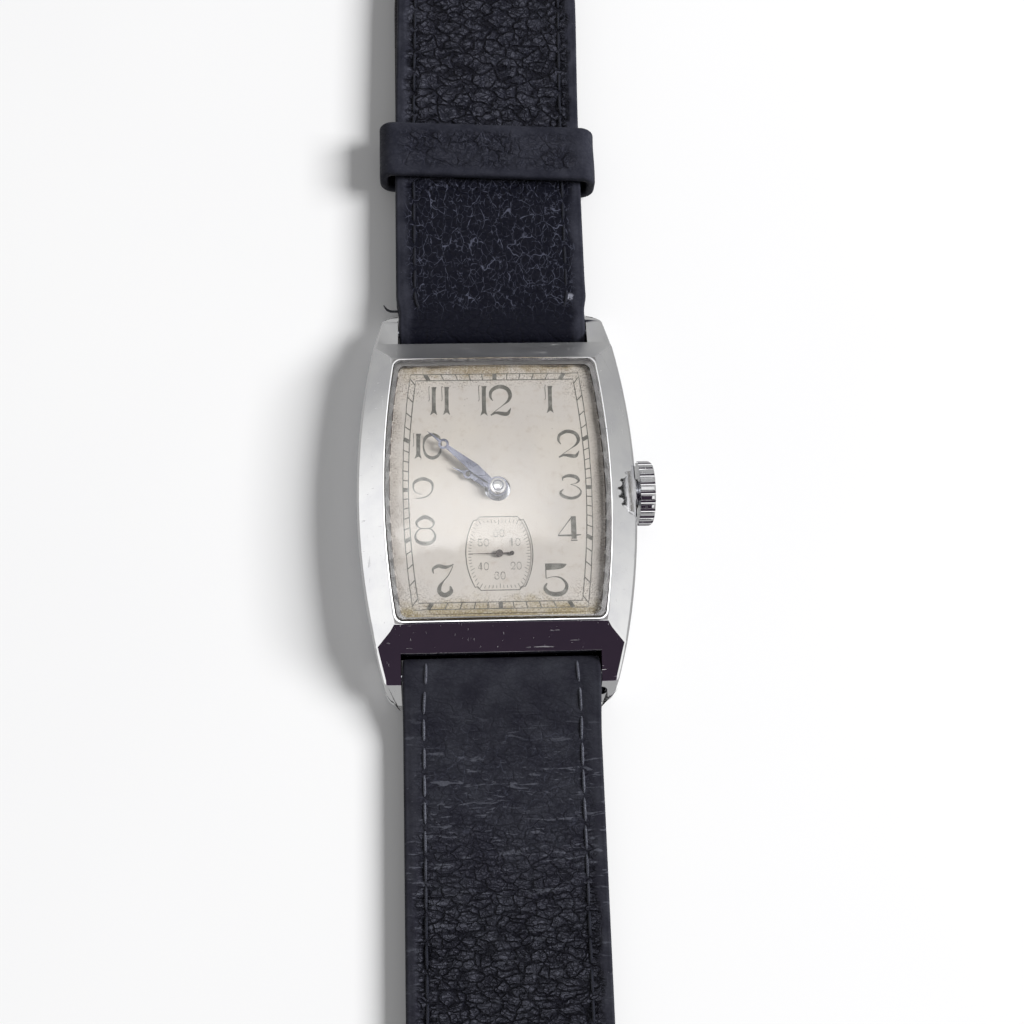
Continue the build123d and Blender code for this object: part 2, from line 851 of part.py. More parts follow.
def make_train_bridge():
    bridge = bridge_from(train_bridge_edge, train_bridge_feet)
    bridge = drill_screws(bridge)
    bridge = seat_jewels(bridge)
    for place in (third_at, fourth_at, escape_at):
        bridge -= disc(pivot_radius + running_gap, bridge_bottom_z - cut_overrun, bridge_top_z, place)
    return bridge


def cock_arm(start, end, width, bottom, thickness):
    """Straight arm with round ends between two places."""
    length = math.dist(start, end)
    arm = SlotCenterToCenter(length, width)
    middle = ((start[0] + end[0]) / 2, (start[1] + end[1]) / 2)
    turned = Rot(Z=angle_between(start, end)) * extrude(arm, amount=thickness)
    return at(*middle, bottom) * turned


def make_balance_cock():
    cock = cock_arm(balance_foot, balance_at, balance_cock_width, bridge_bottom_z, cock_thickness)
    cock += disc(foot_radius, bridge_bottom_z, plate_bottom_z, balance_foot)
    cock = drill_screws(cock)
    cock = seat_jewels(cock)
    low = bridge_bottom_z - cut_overrun
    cock -= disc(pivot_radius + running_gap, low, bridge_top_z, balance_at)
    return cock


def make_pallet_cock():
    cock = cock_arm(pallet_foot, pallet_at, pallet_cock_width, pallet_cock_z, pallet_cock_thickness)
    cock += disc(small_foot_radius, pallet_cock_z, plate_bottom_z, pallet_foot)
    cock = drill_screws(cock)
    return seat_jewels(cock)


def make_regulator():
    """Index ring on the balance cock with a pointer and tail."""
    low = bridge_bottom_z - regulator_thickness
    away_deg = angle_between(balance_at, centre_at)
    ring = disc(regulator_ring_radius, low, bridge_bottom_z, balance_at)
    tip = from_point(balance_at, away_deg, regulator_length)
    ring += cock_arm(balance_at, tip, jewel_radius, low, regulator_thickness)
    return ring - disc(jewel_radius, low - cut_overrun, bridge_bottom_z + cut_overrun, balance_at)


# Going train
def arbor(place, bottom, top, low_pivot_end, high_pivot_end, radius=arbor_radius, pivot=pivot_radius):
    solid = disc(radius, bottom, top, place)
    return solid + disc(pivot, low_pivot_end, high_pivot_end, place)


def make_barrel_drum():
    line = angle_between(barrel_at, centre_at)
    gear_top = barrel_gear_z + barrel_gear_thickness
    drum = gear(barrel_teeth, barrel_module, barrel_gear_z, gear_top, barrel_at, line)
    drum += disc(barrel_drum_radius, barrel_gear_z, barrel_top_z - barrel_lid_thickness, barrel_at)
    drum -= disc(barrel_drum_radius - barrel_wall, barrel_gear_z + barrel_floor, barrel_top_z, barrel_at)
    return drum - disc(barrel_pivot_radius + running_gap, 0, barrel_top_z, barrel_at)


def make_barrel_lid():
    low = barrel_top_z - barrel_lid_thickness
    lid = disc(barrel_drum_radius, low, barrel_top_z, barrel_at)
    return lid - disc(barrel_pivot_radius + running_gap, 0, plate_top_z, barrel_at)


def make_barrel_arbor():
    inner_low = barrel_gear_z + barrel_floor + fit_gap
    inner_high = barrel_top_z - barrel_lid_thickness - fit_gap
    square_low = winding_wheel_z
    square_high = winding_wheel_z + winding_wheel_thickness + fit_gap
    half = barrel_pivot_radius / 2
    body = disc(barrel_arbor_radius, inner_low, inner_high, barrel_at)
    body += disc(barrel_pivot_radius, square_high, plate_top_z, barrel_at)
    body += at(*barrel_at, 0) * block((-half, half), (-half, half), (square_low, square_high))
    return body - disc(half / 2 + fit_gap, 0, bridge_bottom_z + 2 * ratchet_screw_depth, barrel_at)


def make_mainspring():
    room = barrel_drum_radius - barrel_wall - barrel_arbor_radius
    pitch = (room - 4 * mainspring_thickness) / mainspring_turns
    bottom = barrel_gear_z + barrel_floor + 2 * fit_gap
    top = barrel_top_z - barrel_lid_thickness - 2 * fit_gap
    inner = barrel_arbor_radius + mainspring_thickness
    return spiral_band(inner, pitch, mainspring_turns, mainspring_thickness, bottom, top, barrel_at)


def make_ratchet_wheel():
    line = angle_between(crown_wheel_at, barrel_at)
    phase = meshing_phase(line, line, crown_wheel_teeth, ratchet_teeth)
    top = winding_wheel_z + winding_wheel_thickness
    wheel = gear(ratchet_teeth, ratchet_module, winding_wheel_z, top, barrel_at, phase)
    hole = barrel_pivot_radius / 2 + fit_gap
    return wheel - at(*barrel_at, 0) * block((-hole, hole), (-hole, hole), (0, bridge_top_z))


def winding_screw(place, shank_radius, shank_top):
    head_low = winding_wheel_z - winding_screw_head_height
    screw = disc(winding_screw_head_radius, head_low, winding_wheel_z, place)
    screw += disc(shank_radius, winding_wheel_z, shank_top, place)
    half = screw_slot_width / 2
    reach = winding_screw_head_radius + cut_overrun
    slot_z = (head_low - cut_overrun, head_low + screw_slot_depth)
    slot = block((-reach, reach), (-half, half), slot_z)
    return screw - at(*place, 0) * slot


def make_ratchet_screw():
    shank = barrel_pivot_radius / 4
    return winding_screw(barrel_at, shank, bridge_bottom_z + ratchet_screw_depth)


def make_crown_wheel_screw():
    screw = winding_screw(crown_wheel_at, crown_core_radius / 2, bridge_top_z)
    return screw + disc(crown_core_radius, winding_wheel_z, bridge_bottom_z, crown_wheel_at)


def make_crown_wheel():
    line = angle_between(crown_wheel_at, barrel_at)
    top = winding_wheel_z + winding_wheel_thickness
    wheel = gear(crown_wheel_teeth, ratchet_module, winding_wheel_z, top, crown_wheel_at, line)
    pitch_z = stem_z - winding_pinion_radius
    root_z = pitch_z - tooth_dedendum_share * winding_module
    tip_z = pitch_z + tooth_addendum_share * winding_module / 2
    outer = contrate_radius + contrate_wall / 2
    inner = contrate_radius - contrate_wall / 2
    wall = disc(outer, top, root_z, crown_wheel_at) - disc(inner, 0, tip_z, crown_wheel_at)
    wheel += wall
    tooth_width = math.pi * winding_module * tooth_root_share
    for tooth in range(contrate_teeth):
        angle = (tooth + 1 / 2) * 360 / contrate_teeth
        tooth_block = block((inner, outer), (-tooth_width / 2, tooth_width / 2), (root_z - fit_gap, tip_z))
        wheel += at(*crown_wheel_at, 0) * Rot(Z=angle) * tooth_block
    return wheel - disc(crown_core_radius + running_gap, 0, bridge_bottom_z, crown_wheel_at)


# The click stands beside the ratchet wheel with its tip between two teeth
ratchet_radius = ratchet_module * ratchet_teeth / 2
click_tip_at = from_point(barrel_at, click_side_deg, ratchet_radius + ratchet_module)
click_at = from_point(click_tip_at, click_side_deg - click_lean_deg, click_length)


def make_click():
    low = winding_wheel_z
    top = winding_wheel_z + winding_wheel_thickness
    click = cock_arm(click_at, click_tip_at, click_width / 2, low, top - low)
    click += disc(click_width / 2, low, top, click_at)
    click -= disc(ratchet_radius + ratchet_module + fit_gap, 0, bridge_bottom_z, barrel_at)
    return click + disc(arbor_radius, low, bridge_top_z, click_at)


def make_click_spring():
    """Wire in the angle between click and frame, one end resting by the click."""
    low = winding_wheel_z
    start = from_point(click_at, click_side_deg, click_width / 2 + 2 * click_spring_radius)
    end = from_point(start, click_side_deg + click_spring_lean_deg, click_length)
    return cock_arm(start, end, 2 * click_spring_radius, low, winding_wheel_thickness)


def make_centre_wheel():
    line = angle_between(centre_at, third_at)
    top = centre_wheel_z + wheel_thickness
    radius = centre_module * centre_teeth / 2
    wheel = gear(centre_teeth, centre_module, centre_wheel_z, top, centre_at, line)
    wheel = lightened(wheel, radius, centre_at, centre_wheel_z, top)
    barrel_line = angle_between(barrel_at, centre_at)
    pinion_phase = meshing_phase(barrel_line, barrel_line, barrel_teeth, centre_pinion_teeth)
    pinion_low = bridge_top_z + fit_gap
    wheel += gear(
        centre_pinion_teeth, barrel_module, pinion_low, centre_wheel_z, centre_at, pinion_phase
    )
    wheel += disc(centre_arbor_radius, centre_wheel_z, minute_hand_z, centre_at)
    return wheel + disc(pivot_radius, bridge_bottom_z, centre_wheel_z, centre_at)


def train_wheel(
    teeth, module, wheel_z, place, wheel_phase, pinion_teeth, pinion_module, pinion_phase, pinion_z
):
    top = wheel_z + wheel_thickness
    wheel = gear(teeth, module, wheel_z, top, place, wheel_phase)
    wheel = lightened(wheel, module * teeth / 2, place, wheel_z, top)
    wheel += gear(pinion_teeth, pinion_module, pinion_z, pinion_z + pinion_height, place, pinion_phase)
    low = bridge_top_z + fit_gap
    high = plate_bottom_z - fit_gap
    low_end = bridge_top_z - jewel_thickness
    high_end = plate_bottom_z + jewel_thickness
    return wheel + arbor(place, low, high, low_end, high_end)


def make_third_wheel():
    from_centre = angle_between(centre_at, third_at)
    pinion_phase = meshing_phase(from_centre, from_centre, centre_teeth, third_pinion_teeth)
    line = angle_between(third_at, fourth_at)
    pinion_z = centre_wheel_z - pinion_height / 2
    return train_wheel(
        third_teeth, third_module, third_wheel_z, third_at, line,
        third_pinion_teeth, centre_module, pinion_phase, pinion_z,
    )


def make_fourth_wheel():
    from_third = angle_between(third_at, fourth_at)
    pinion_phase = meshing_phase(from_third, from_third, third_teeth, fourth_pinion_teeth)
    line = angle_between(fourth_at, escape_at)
    wheel = train_wheel(
        fourth_teeth, fourth_module, fourth_wheel_z, fourth_at, line,
        fourth_pinion_teeth, third_module, pinion_phase, fourth_wheel_z + wheel_thickness,
    )
    return wheel + disc(seconds_pivot_radius, plate_bottom_z - fit_gap, seconds_hand_z, fourth_at)


def make_escape_wheel():
    step = 360 / escape_teeth
    points = []
    for tooth in range(escape_teeth):
        start = escapement_line_deg + tooth * step
        for radius, share in (
            (escape_root_radius, 0),
            (escape_radius, escape_heel_share),
            (escape_radius, escape_toe_share),
            (escape_root_radius, escape_back_share),
        ):
            ux, uy = direction(start + share * step)
            points.append((radius * ux, radius * uy))
    top = escape_wheel_z + wheel_thickness
    star = make_face(Polyline(*points, close=True))
    wheel = at(*escape_at, 0) * slab(star, escape_wheel_z, top)
    wheel = lightened(wheel, escape_root_radius, escape_at, escape_wheel_z, top)
    from_fourth = angle_between(fourth_at, escape_at)
    phase = meshing_phase(from_fourth, from_fourth, fourth_teeth, escape_pinion_teeth)
    pinion_z = fourth_wheel_z - wheel_thickness / 2
    wheel += gear(escape_pinion_teeth, fourth_module, pinion_z, pinion_z + pinion_height, escape_at, phase)
    low_end = bridge_top_z - jewel_thickness
    high_end = plate_bottom_z + jewel_thickness
    return wheel + arbor(escape_at, bridge_top_z + fit_gap, plate_bottom_z - fit_gap, low_end, high_end)


# Lever and balance
def stone_places():
    places = []
    for side in (-1, 1):
        angle = escapement_line_deg + side * stone_span_deg
        distance = escape_radius + stone_reach + stone_length / 2
        places.append((from_point(escape_at, angle, distance), angle))
    return places


def make_pallet_fork():
    low = escape_wheel_z
    thickness = wheel_thickness
    head_distance = pallet_to_balance - impulse_pin_at - fork_width / 2
    head_at = from_point(pallet_at, escapement_line_deg, head_distance)
    fork = cock_arm(pallet_at, head_at, fork_width, low, thickness)
    head = Rot(Z=escapement_line_deg) * Rectangle(fork_width * 2, fork_head_width)
    tip_at = from_point(balance_at, escapement_line_deg + 180, impulse_pin_at)
    fork += at(*tip_at, low) * extrude(head, amount=thickness)
    for stone_at, angle in stone_places():
        outer_end = from_point(stone_at, angle, stone_length / 2)
        fork += cock_arm(pallet_at, outer_end, fork_width, low, thickness)
    for stone_at, angle in stone_places():
        slot = Rot(Z=angle) * Rectangle(stone_length + 2 * fit_gap, stone_width + 2 * fit_gap)
        fork -= at(*stone_at, 0) * slab(slot, low - cut_overrun, plate_bottom_z)
    notch = Rot(Z=escapement_line_deg) * Rectangle(fork_width * 3, fork_notch_width)
    notch_at = from_point(tip_at, escapement_line_deg, fork_width)
    fork -= at(*notch_at, 0) * slab(notch, low - cut_overrun, plate_bottom_z)
    fork -= disc(escape_radius + stone_reach, low - cut_overrun, plate_bottom_z, escape_at)
    low_end = pallet_cock_z
    high_end = plate_bottom_z + jewel_thickness
    shaft_low = pallet_cock_z + pallet_cock_thickness + fit_gap
    return fork + arbor(pallet_at, shaft_low, plate_bottom_z - fit_gap, low_end, high_end)


def make_pallet_stones():
    stones = []
    top = escape_wheel_z + wheel_thickness
    for stone_at, angle in stone_places():
        stone = Rot(Z=angle) * Rectangle(stone_length, stone_width)
        stones.append(at(*stone_at, 0) * slab(stone, escape_wheel_z, top))
    return stones


def make_balance_wheel():
    rim_top = balance_rim_z + balance_rim_height
    rim = disc(balance_radius, balance_rim_z, rim_top)
    rim -= disc(balance_radius - balance_rim_width, 0, plate_top_z)
    arm_low = balance_rim_z + (balance_rim_height - balance_arm_thickness) / 2
    arm_top = arm_low + balance_arm_thickness
    reach = balance_radius - balance_rim_width / 2
    half = balance_arm_width / 2
    rim += block((-reach, reach), (-half, half), (arm_low, arm_top))
    rim += disc(2 * staff_collet_radius, arm_low, arm_top)
    screw_z = balance_rim_z + balance_rim_height / 2
    for number in range(balance_screws):
        screw = rod(balance_screw_radius, reach, balance_radius + balance_screw_length, 0, screw_z)
        rim += Rot(Z=(number + 1 / 2) * 360 / balance_screws) * screw
    rim -= disc(staff_radius + fit_gap, 0, plate_top_z)
    return at(*balance_at, 0) * rim


def make_balance_staff():
    low = bridge_bottom_z + cock_thickness + fit_gap
    high = plate_bottom_z - fit_gap
    low_end = bridge_bottom_z + cock_thickness - jewel_thickness
    high_end = plate_bottom_z + jewel_thickness
    staff = arbor(balance_at, low, high, low_end, high_end, staff_radius)
    return staff + disc(staff_collet_radius, hairspring_z, hairspring_z + hairspring_height, balance_at)


def make_roller():
    top = roller_z + roller_thickness
    roller = disc(roller_radius, roller_z, top, balance_at)
    roller -= disc(staff_radius + fit_gap, 0, plate_top_z, balance_at)
    pin_at = from_point(balance_at, escapement_line_deg + 180, impulse_pin_at)
    return roller + disc(impulse_pin_radius, roller_z, impulse_pin_end_z, pin_at)


def make_hairspring():
    inner = staff_collet_radius + hairspring_thickness
    top = hairspring_z + hairspring_height
    return spiral_band(
        inner, hairspring_pitch, hairspring_turns, hairspring_thickness, hairspring_z, top, balance_at
    )


# Motion work
def make_cannon_pinion():
    line = angle_between(centre_at, minute_at)
    top = motion_lower_z + motion_lower_thickness
    pinion = gear(cannon_teeth, motion_module, motion_lower_z, top, centre_at, line)
    pinion += disc(cannon_pipe_radius, motion_lower_z, minute_hand_z)
    return pinion - disc(centre_arbor_radius + running_gap, 0, minute_hand_z + cut_overrun)


def minute_wheel_phase():
    line = angle_between(centre_at, minute_at)
    return meshing_phase(line, line, cannon_teeth, minute_wheel_teeth)


def make_minute_wheel():
    top = motion_lower_z + motion_lower_thickness
    wheel = gear(minute_wheel_teeth, motion_module, motion_lower_z, top, minute_at, minute_wheel_phase())
    line = angle_between(minute_at, centre_at)
    upper_top = motion_upper_z + motion_upper_thickness
    wheel += gear(minute_pinion_teeth, hour_module, motion_lower_z, upper_top, minute_at, line)
    return wheel + disc(arbor_radius, plate_bottom_z + plate_thickness / 2 + fit_gap, top, minute_at)


def make_hour_wheel():
    line = angle_between(minute_at, centre_at)
    phase = meshing_phase(line, line, minute_pinion_teeth, hour_wheel_teeth)
    upper_top = motion_upper_z + motion_upper_thickness
    wheel = gear(hour_wheel_teeth, hour_module, motion_upper_z, upper_top, centre_at, phase)
    bore = cannon_pipe_radius + running_gap
    wheel += disc(bore + hour_pipe_wall, motion_upper_z, hour_hand_z)
    return wheel - disc(bore, 0, hour_hand_z + cut_overrun)


def make_setting_wheel():
    line = angle_between(minute_at, setting_at)
    phase = meshing_phase(minute_wheel_phase(), line, minute_wheel_teeth, setting_wheel_teeth)
    top = motion_lower_z + motion_lower_thickness
    wheel = gear(setting_wheel_teeth, motion_module, motion_lower_z, top, setting_at, phase)
    return wheel + disc(arbor_radius, plate_bottom_z + plate_thickness / 2 + fit_gap, top, setting_at)


# Winding and setting work
def make_winding_stem():
    winding_end = winding_pinion_x + winding_pinion_length
    square_end = clutch_x + clutch_length
    stem = rod(stem_pilot_radius, stem_inner_x, stem_square_x)
    half = stem_square / 2
    stem += block((stem_square_x, square_end), (-half, half), (-half, half))
    stem += rod(stem_radius, square_end, stem_groove_x)
    groove_end = stem_groove_x + stem_groove_width
    recess_end = crown_inner_x + crown_recess_depth
    stem += rod(stem_groove_radius, winding_end, groove_end)
    stem += rod(stem_radius, groove_end, recess_end - fit_gap)
    stem += rod(crown_bore_radius - fit_gap, crown_inner_x, recess_end + crown_bore_depth)
    return at(0, 0, stem_z) * stem


def spur_on_x(teeth, module, start_x, end_x):
    """Spur gear on the stem's axis with one tooth pointing down."""
    solid = extrude(gear_outline(teeth, module, 0), amount=end_x - start_x)
    return at(start_x, 0, 0) * Rot(Y=90) * solid


def make_winding_pinion():
    end = winding_pinion_x + winding_pinion_length
    pinion = spur_on_x(winding_pinion_teeth, winding_module, winding_pinion_x, end)
    pinion -= rod(stem_radius + running_gap, winding_pinion_x - cut_overrun, end + cut_overrun)
    return at(0, 0, stem_z) * pinion


def make_sliding_pinion():
    end = clutch_x + clutch_length
    module = 2 * clutch_radius / (clutch_teeth + 2 * tooth_addendum_share)
    clutch = spur_on_x(clutch_teeth, module, clutch_x, clutch_x + clutch_length / 4)
    clutch += rod(clutch_radius - 2 * module, clutch_x, end)
    clutch += rod(clutch_radius - module / 2, end - clutch_length / 4, end)
    groove_x = clutch_x + (clutch_length - clutch_groove_width) / 2
    groove = rod(clutch_radius, groove_x, groove_x + clutch_groove_width)
    groove -= rod(clutch_groove_radius, groove_x - cut_overrun, groove_x + cut_overrun)
    clutch -= groove
    hole = stem_square / 2 + running_gap
    clutch -= block((0, end + cut_overrun), (-hole, hole), (-hole, hole))
    return at(0, 0, stem_z) * clutch


def make_setting_lever():
    low = motion_lower_z
    pin_at = (lever_pin_x, 0)
    lever = cock_arm(lever_pivot, pin_at, lever_width, low, lever_thickness)
    lever += disc(lever_pin_radius, stem_z + stem_groove_radius + running_gap, low, pin_at)
    return lever + disc(arbor_radius, plate_bottom_z + plate_thickness / 2 + fit_gap, low, lever_pivot)


def make_yoke():
    low = motion_lower_z
    pin_at = (clutch_x + clutch_length / 2, clutch_groove_radius + 2 * lever_pin_radius)
    elbow = (pin_at[0], yoke_pivot[1])
    yoke = cock_arm(yoke_pivot, elbow, lever_width, low, lever_thickness)
    yoke += cock_arm(elbow, pin_at, lever_width / 2, low, lever_thickness)
    yoke += disc(lever_pin_radius, stem_z, low, pin_at)
    return yoke + disc(arbor_radius, plate_bottom_z + plate_thickness / 2 + fit_gap, low, yoke_pivot)


def make_crown():
    outer_x = crown_inner_x + crown_thickness
    crown = rod(crown_radius, crown_inner_x, outer_x)
    rim = crown.edges().filter_by(GeomType.CIRCLE).sort_by(Axis.X)
    crown = fillet(rim[-1], crown_edge_radius)
    flute_x = (crown_inner_x - cut_overrun, outer_x + cut_overrun)
    cutter = rod(crown_flute_radius, *flute_x, 0, crown_radius)
    for flute in range(crown_flutes):
        crown -= Rot(X=flute * 360 / crown_flutes) * cutter
    recess_end = crown_inner_x + crown_recess_depth
    crown -= rod(crown_recess_radius, crown_inner_x - cut_overrun, recess_end)
    crown -= rod(crown_bore_radius, crown_inner_x, recess_end + crown_bore_depth + fit_gap)
    return at(0, 0, stem_z) * crown


def make_crown_tube():
    start = tube_outer_x - tube_length
    tube = rod(tube_radius, start, tube_outer_x, 0, stem_z)
    return tube - rod(tube_bore_radius, start - cut_overrun, tube_outer_x + cut_overrun, 0, stem_z)


# Straps: built for the 12 o'clock side, then turned over for the 6 o'clock side
loop_inner = bar_radius + loop_gap
loop_outer = loop_inner + leather_thickness


def strap_outline(length, pointed):
    """Plan outline from the case end outwards."""
    half = strap_width / 2
    end_half = strap_end_width / 2
    start_y = bar_y - loop_outer - cut_overrun
    taper_y = bar_y + strap_straight_length
    end_y = bar_y + length
    points = [(-half, start_y), (-half, taper_y)]
    if pointed:
        tip_start = end_y - tip_length
        flat = tip_flat_width / 2
        points += [(-end_half, tip_start), (-flat, end_y), (flat, end_y), (end_half, tip_start)]
    else:
        points += [(-end_half, end_y + 2 * loop_outer), (end_half, end_y + 2 * loop_outer)]
    points += [(half, taper_y), (half, start_y)]
    outline = make_face(Polyline(*points, close=True))
    if pointed:
        corners = outline.vertices().filter_by_position(Axis.Y, end_y - tip_length, end_y)
        outline = fillet(corners, tip_round_radius)
    return outline


def side_profile(points):
    """Closed profile in the Y-Z plane."""
    return make_face(Polyline(*points, close=True))


def leather_profile(run_low, end_y, buckle_end):
    """Outer leather: loop round the spring bar, top layer and folded flap."""
    flap_top = run_low + leather_thickness
    top_low = flap_top + filler_thickness
    top_high = top_low + leather_thickness
    slope_end = bar_y + slope_length
    ring = Pos(bar_y, bar_z) * Circle(loop_outer)
    upper = side_profile([
        (bar_y, bar_z + loop_inner), (bar_y, bar_z + loop_outer),
        (slope_end, top_high), (end_y, top_high), (end_y, top_low), (slope_end, top_low),
    ])
    lower = side_profile([
        (bar_y, bar_z - loop_outer), (bar_y, bar_z - loop_inner),
        (slope_end, flap_top), (bar_y + flap_length, flap_top),
        (bar_y + flap_length, run_low), (slope_end, run_low),
    ])
    face = ring + upper + lower
    if buckle_end:
        ring_at = Pos(end_y, buckle_bar_z)
        bore = buckle_bar_radius + loop_gap
        radius = (top_high - run_low) / 2
        back = end_y - buckle_flap_length
        face += ring_at * Circle(radius)
        face += side_profile([(back, run_low), (end_y, run_low), (end_y, flap_top), (back, flap_top)])
        face -= ring_at * Circle(bore)
    return face - Pos(bar_y, bar_z) * Circle(loop_inner)


def lining_profile(run_low, end_y, buckle_end):
    """Lining under the top layer, with a thin filler reaching over the folded flap."""
    flap_top = run_low + leather_thickness
    fill_low = flap_top + layer_gap
    fill_high = flap_top + filler_thickness - layer_gap
    start = bar_y + flap_length + layer_gap
    fill_start = bar_y + slope_length
    stop = end_y - buckle_flap_length - layer_gap if buckle_end else end_y
    points = [
        (fill_start, fill_high), (fill_start, fill_low), (start, fill_low), (start, run_low),
        (stop, run_low), (stop, fill_high),
    ]
    return side_profile(points)


def strap_piece(profile, outline):
    solid = extrude(Plane.YZ * profile, amount=strap_width, both=True)
    prism = slab(outline, -cut_overrun, lip_top_z)
    return solid & prism


def strap_holes():
    end_y = bar_y + lower_strap_length
    holes = []
    for number in range(hole_count):
        y = end_y - first_hole_from_tip - number * hole_pitch
        holes.append(disc(hole_radius, -cut_overrun, lip_top_z, (0, y)))
    return holes


def tongue_slot():
    end_y = bar_y + upper_strap_length
    half = tongue_slot_width / 2
    y_range = (end_y - tongue_slot_length / 2, end_y + tongue_slot_length / 2)
    return block((-half, half), y_range, (-cut_overrun, lip_top_z))


def make_upper_strap():
    end_y = bar_y + upper_strap_length
    outline = strap_outline(upper_strap_length, False)
    leather = strap_piece(leather_profile(upper_strap_lift, end_y, True), outline) - tongue_slot()
    lining = strap_piece(lining_profile(upper_strap_lift, end_y, True), outline)
    return leather, lining


def make_lower_strap():
    end_y = bar_y + lower_strap_length
    outline = strap_outline(lower_strap_length, True)
    leather = strap_piece(leather_profile(0, end_y, False), outline)
    lining = strap_piece(lining_profile(0, end_y, False), outline)
    for hole in strap_holes():
        leather -= hole
        lining -= hole
    return Rot(Z=180) * leather, Rot(Z=180) * lining


def make_spring_bar(side):
    half = lug_gap / 2 - bar_end_gap
    pin_reach = lug_gap / 2 + bar_pin_length - fit_gap
    bar = rod(bar_radius, -half, half, side * bar_y, bar_z)
    return bar + rod(bar_pin_radius, -pin_reach, pin_reach, side * bar_y, bar_z)


strap_thickness = 2 * leather_thickness + filler_thickness


def make_keeper(middle_y):
    """Leather loop round the upper strap with some room to spare above it."""
    inner_height = strap_thickness + keeper_spare_height
    outer_width = keeper_inner_width + 2 * keeper_band
    outer_height = inner_height + 2 * keeper_band
    outer = RectangleRounded(outer_width, outer_height, keeper_corner_radius)
    inner = RectangleRounded(keeper_inner_width, inner_height, keeper_corner_radius - keeper_band)
    ring = extrude(Plane.XZ * (outer - inner), amount=keeper_length / 2, both=True)
    return at(0, middle_y, outer_height / 2) * ring


buckle_y = bar_y + upper_strap_length
fixed_keeper_y = buckle_y - fixed_keeper_from_bar


def lay_buckle(piece):
    """Tilt about the bar until the frame's far rim lies on the table."""
    drop_deg = math.degrees(math.asin((buckle_bar_z - buckle_wire_radius) / buckle_depth))
    return at(0, buckle_y, buckle_bar_z) * Rot(X=-drop_deg) * piece


def make_buckle_frame():
    half = buckle_inner_width / 2 + buckle_wire_radius
    path = FilletPolyline(
        (-half, -buckle_wire_radius, 0),
        (-half, buckle_depth, 0),
        (half, buckle_depth, 0),
        (half, -buckle_wire_radius, 0),
        radius=buckle_corner_radius,
    )
    section = Plane(origin=path @ 0, z_dir=path % 0) * Circle(buckle_wire_radius)
    frame = sweep(section, path=path)
    frame -= rod(buckle_bar_radius + fit_gap, -half, half)
    return lay_buckle(frame)


def make_buckle_bar():
    half = buckle_inner_width / 2 + buckle_wire_radius - fit_gap
    return lay_buckle(rod(buckle_bar_radius, -half, half))


def make_buckle_tongue():
    ring_outer = buckle_bar_radius + loop_gap + tongue_radius
    ring = rod(ring_outer, -tongue_radius, tongue_radius)
    rise = buckle_wire_radius + tongue_radius + 2 * fit_gap
    length = buckle_depth + tongue_overhang
    slope_deg = math.degrees(math.atan2(rise, length))
    arm = Rot(X=slope_deg - 90) * disc(tongue_radius, 0, math.hypot(length, rise))
    tongue = ring + arm
    tongue -= rod(buckle_bar_radius + loop_gap, -ring_outer, ring_outer)
    return lay_buckle(tongue)


def write(node, shape):
    """One STEP file for each node; a list is a group of separate solids."""
    if isinstance(shape, list):
        solids = [solid for piece in shape for solid in piece.solids()]
    else:
        solids = list(shape.solids())
    whole = solids[0] if len(solids) == 1 else Compound(children=solids)
    whole.label = node
    export_step(whole, os.path.join("parts", node + ".step"))


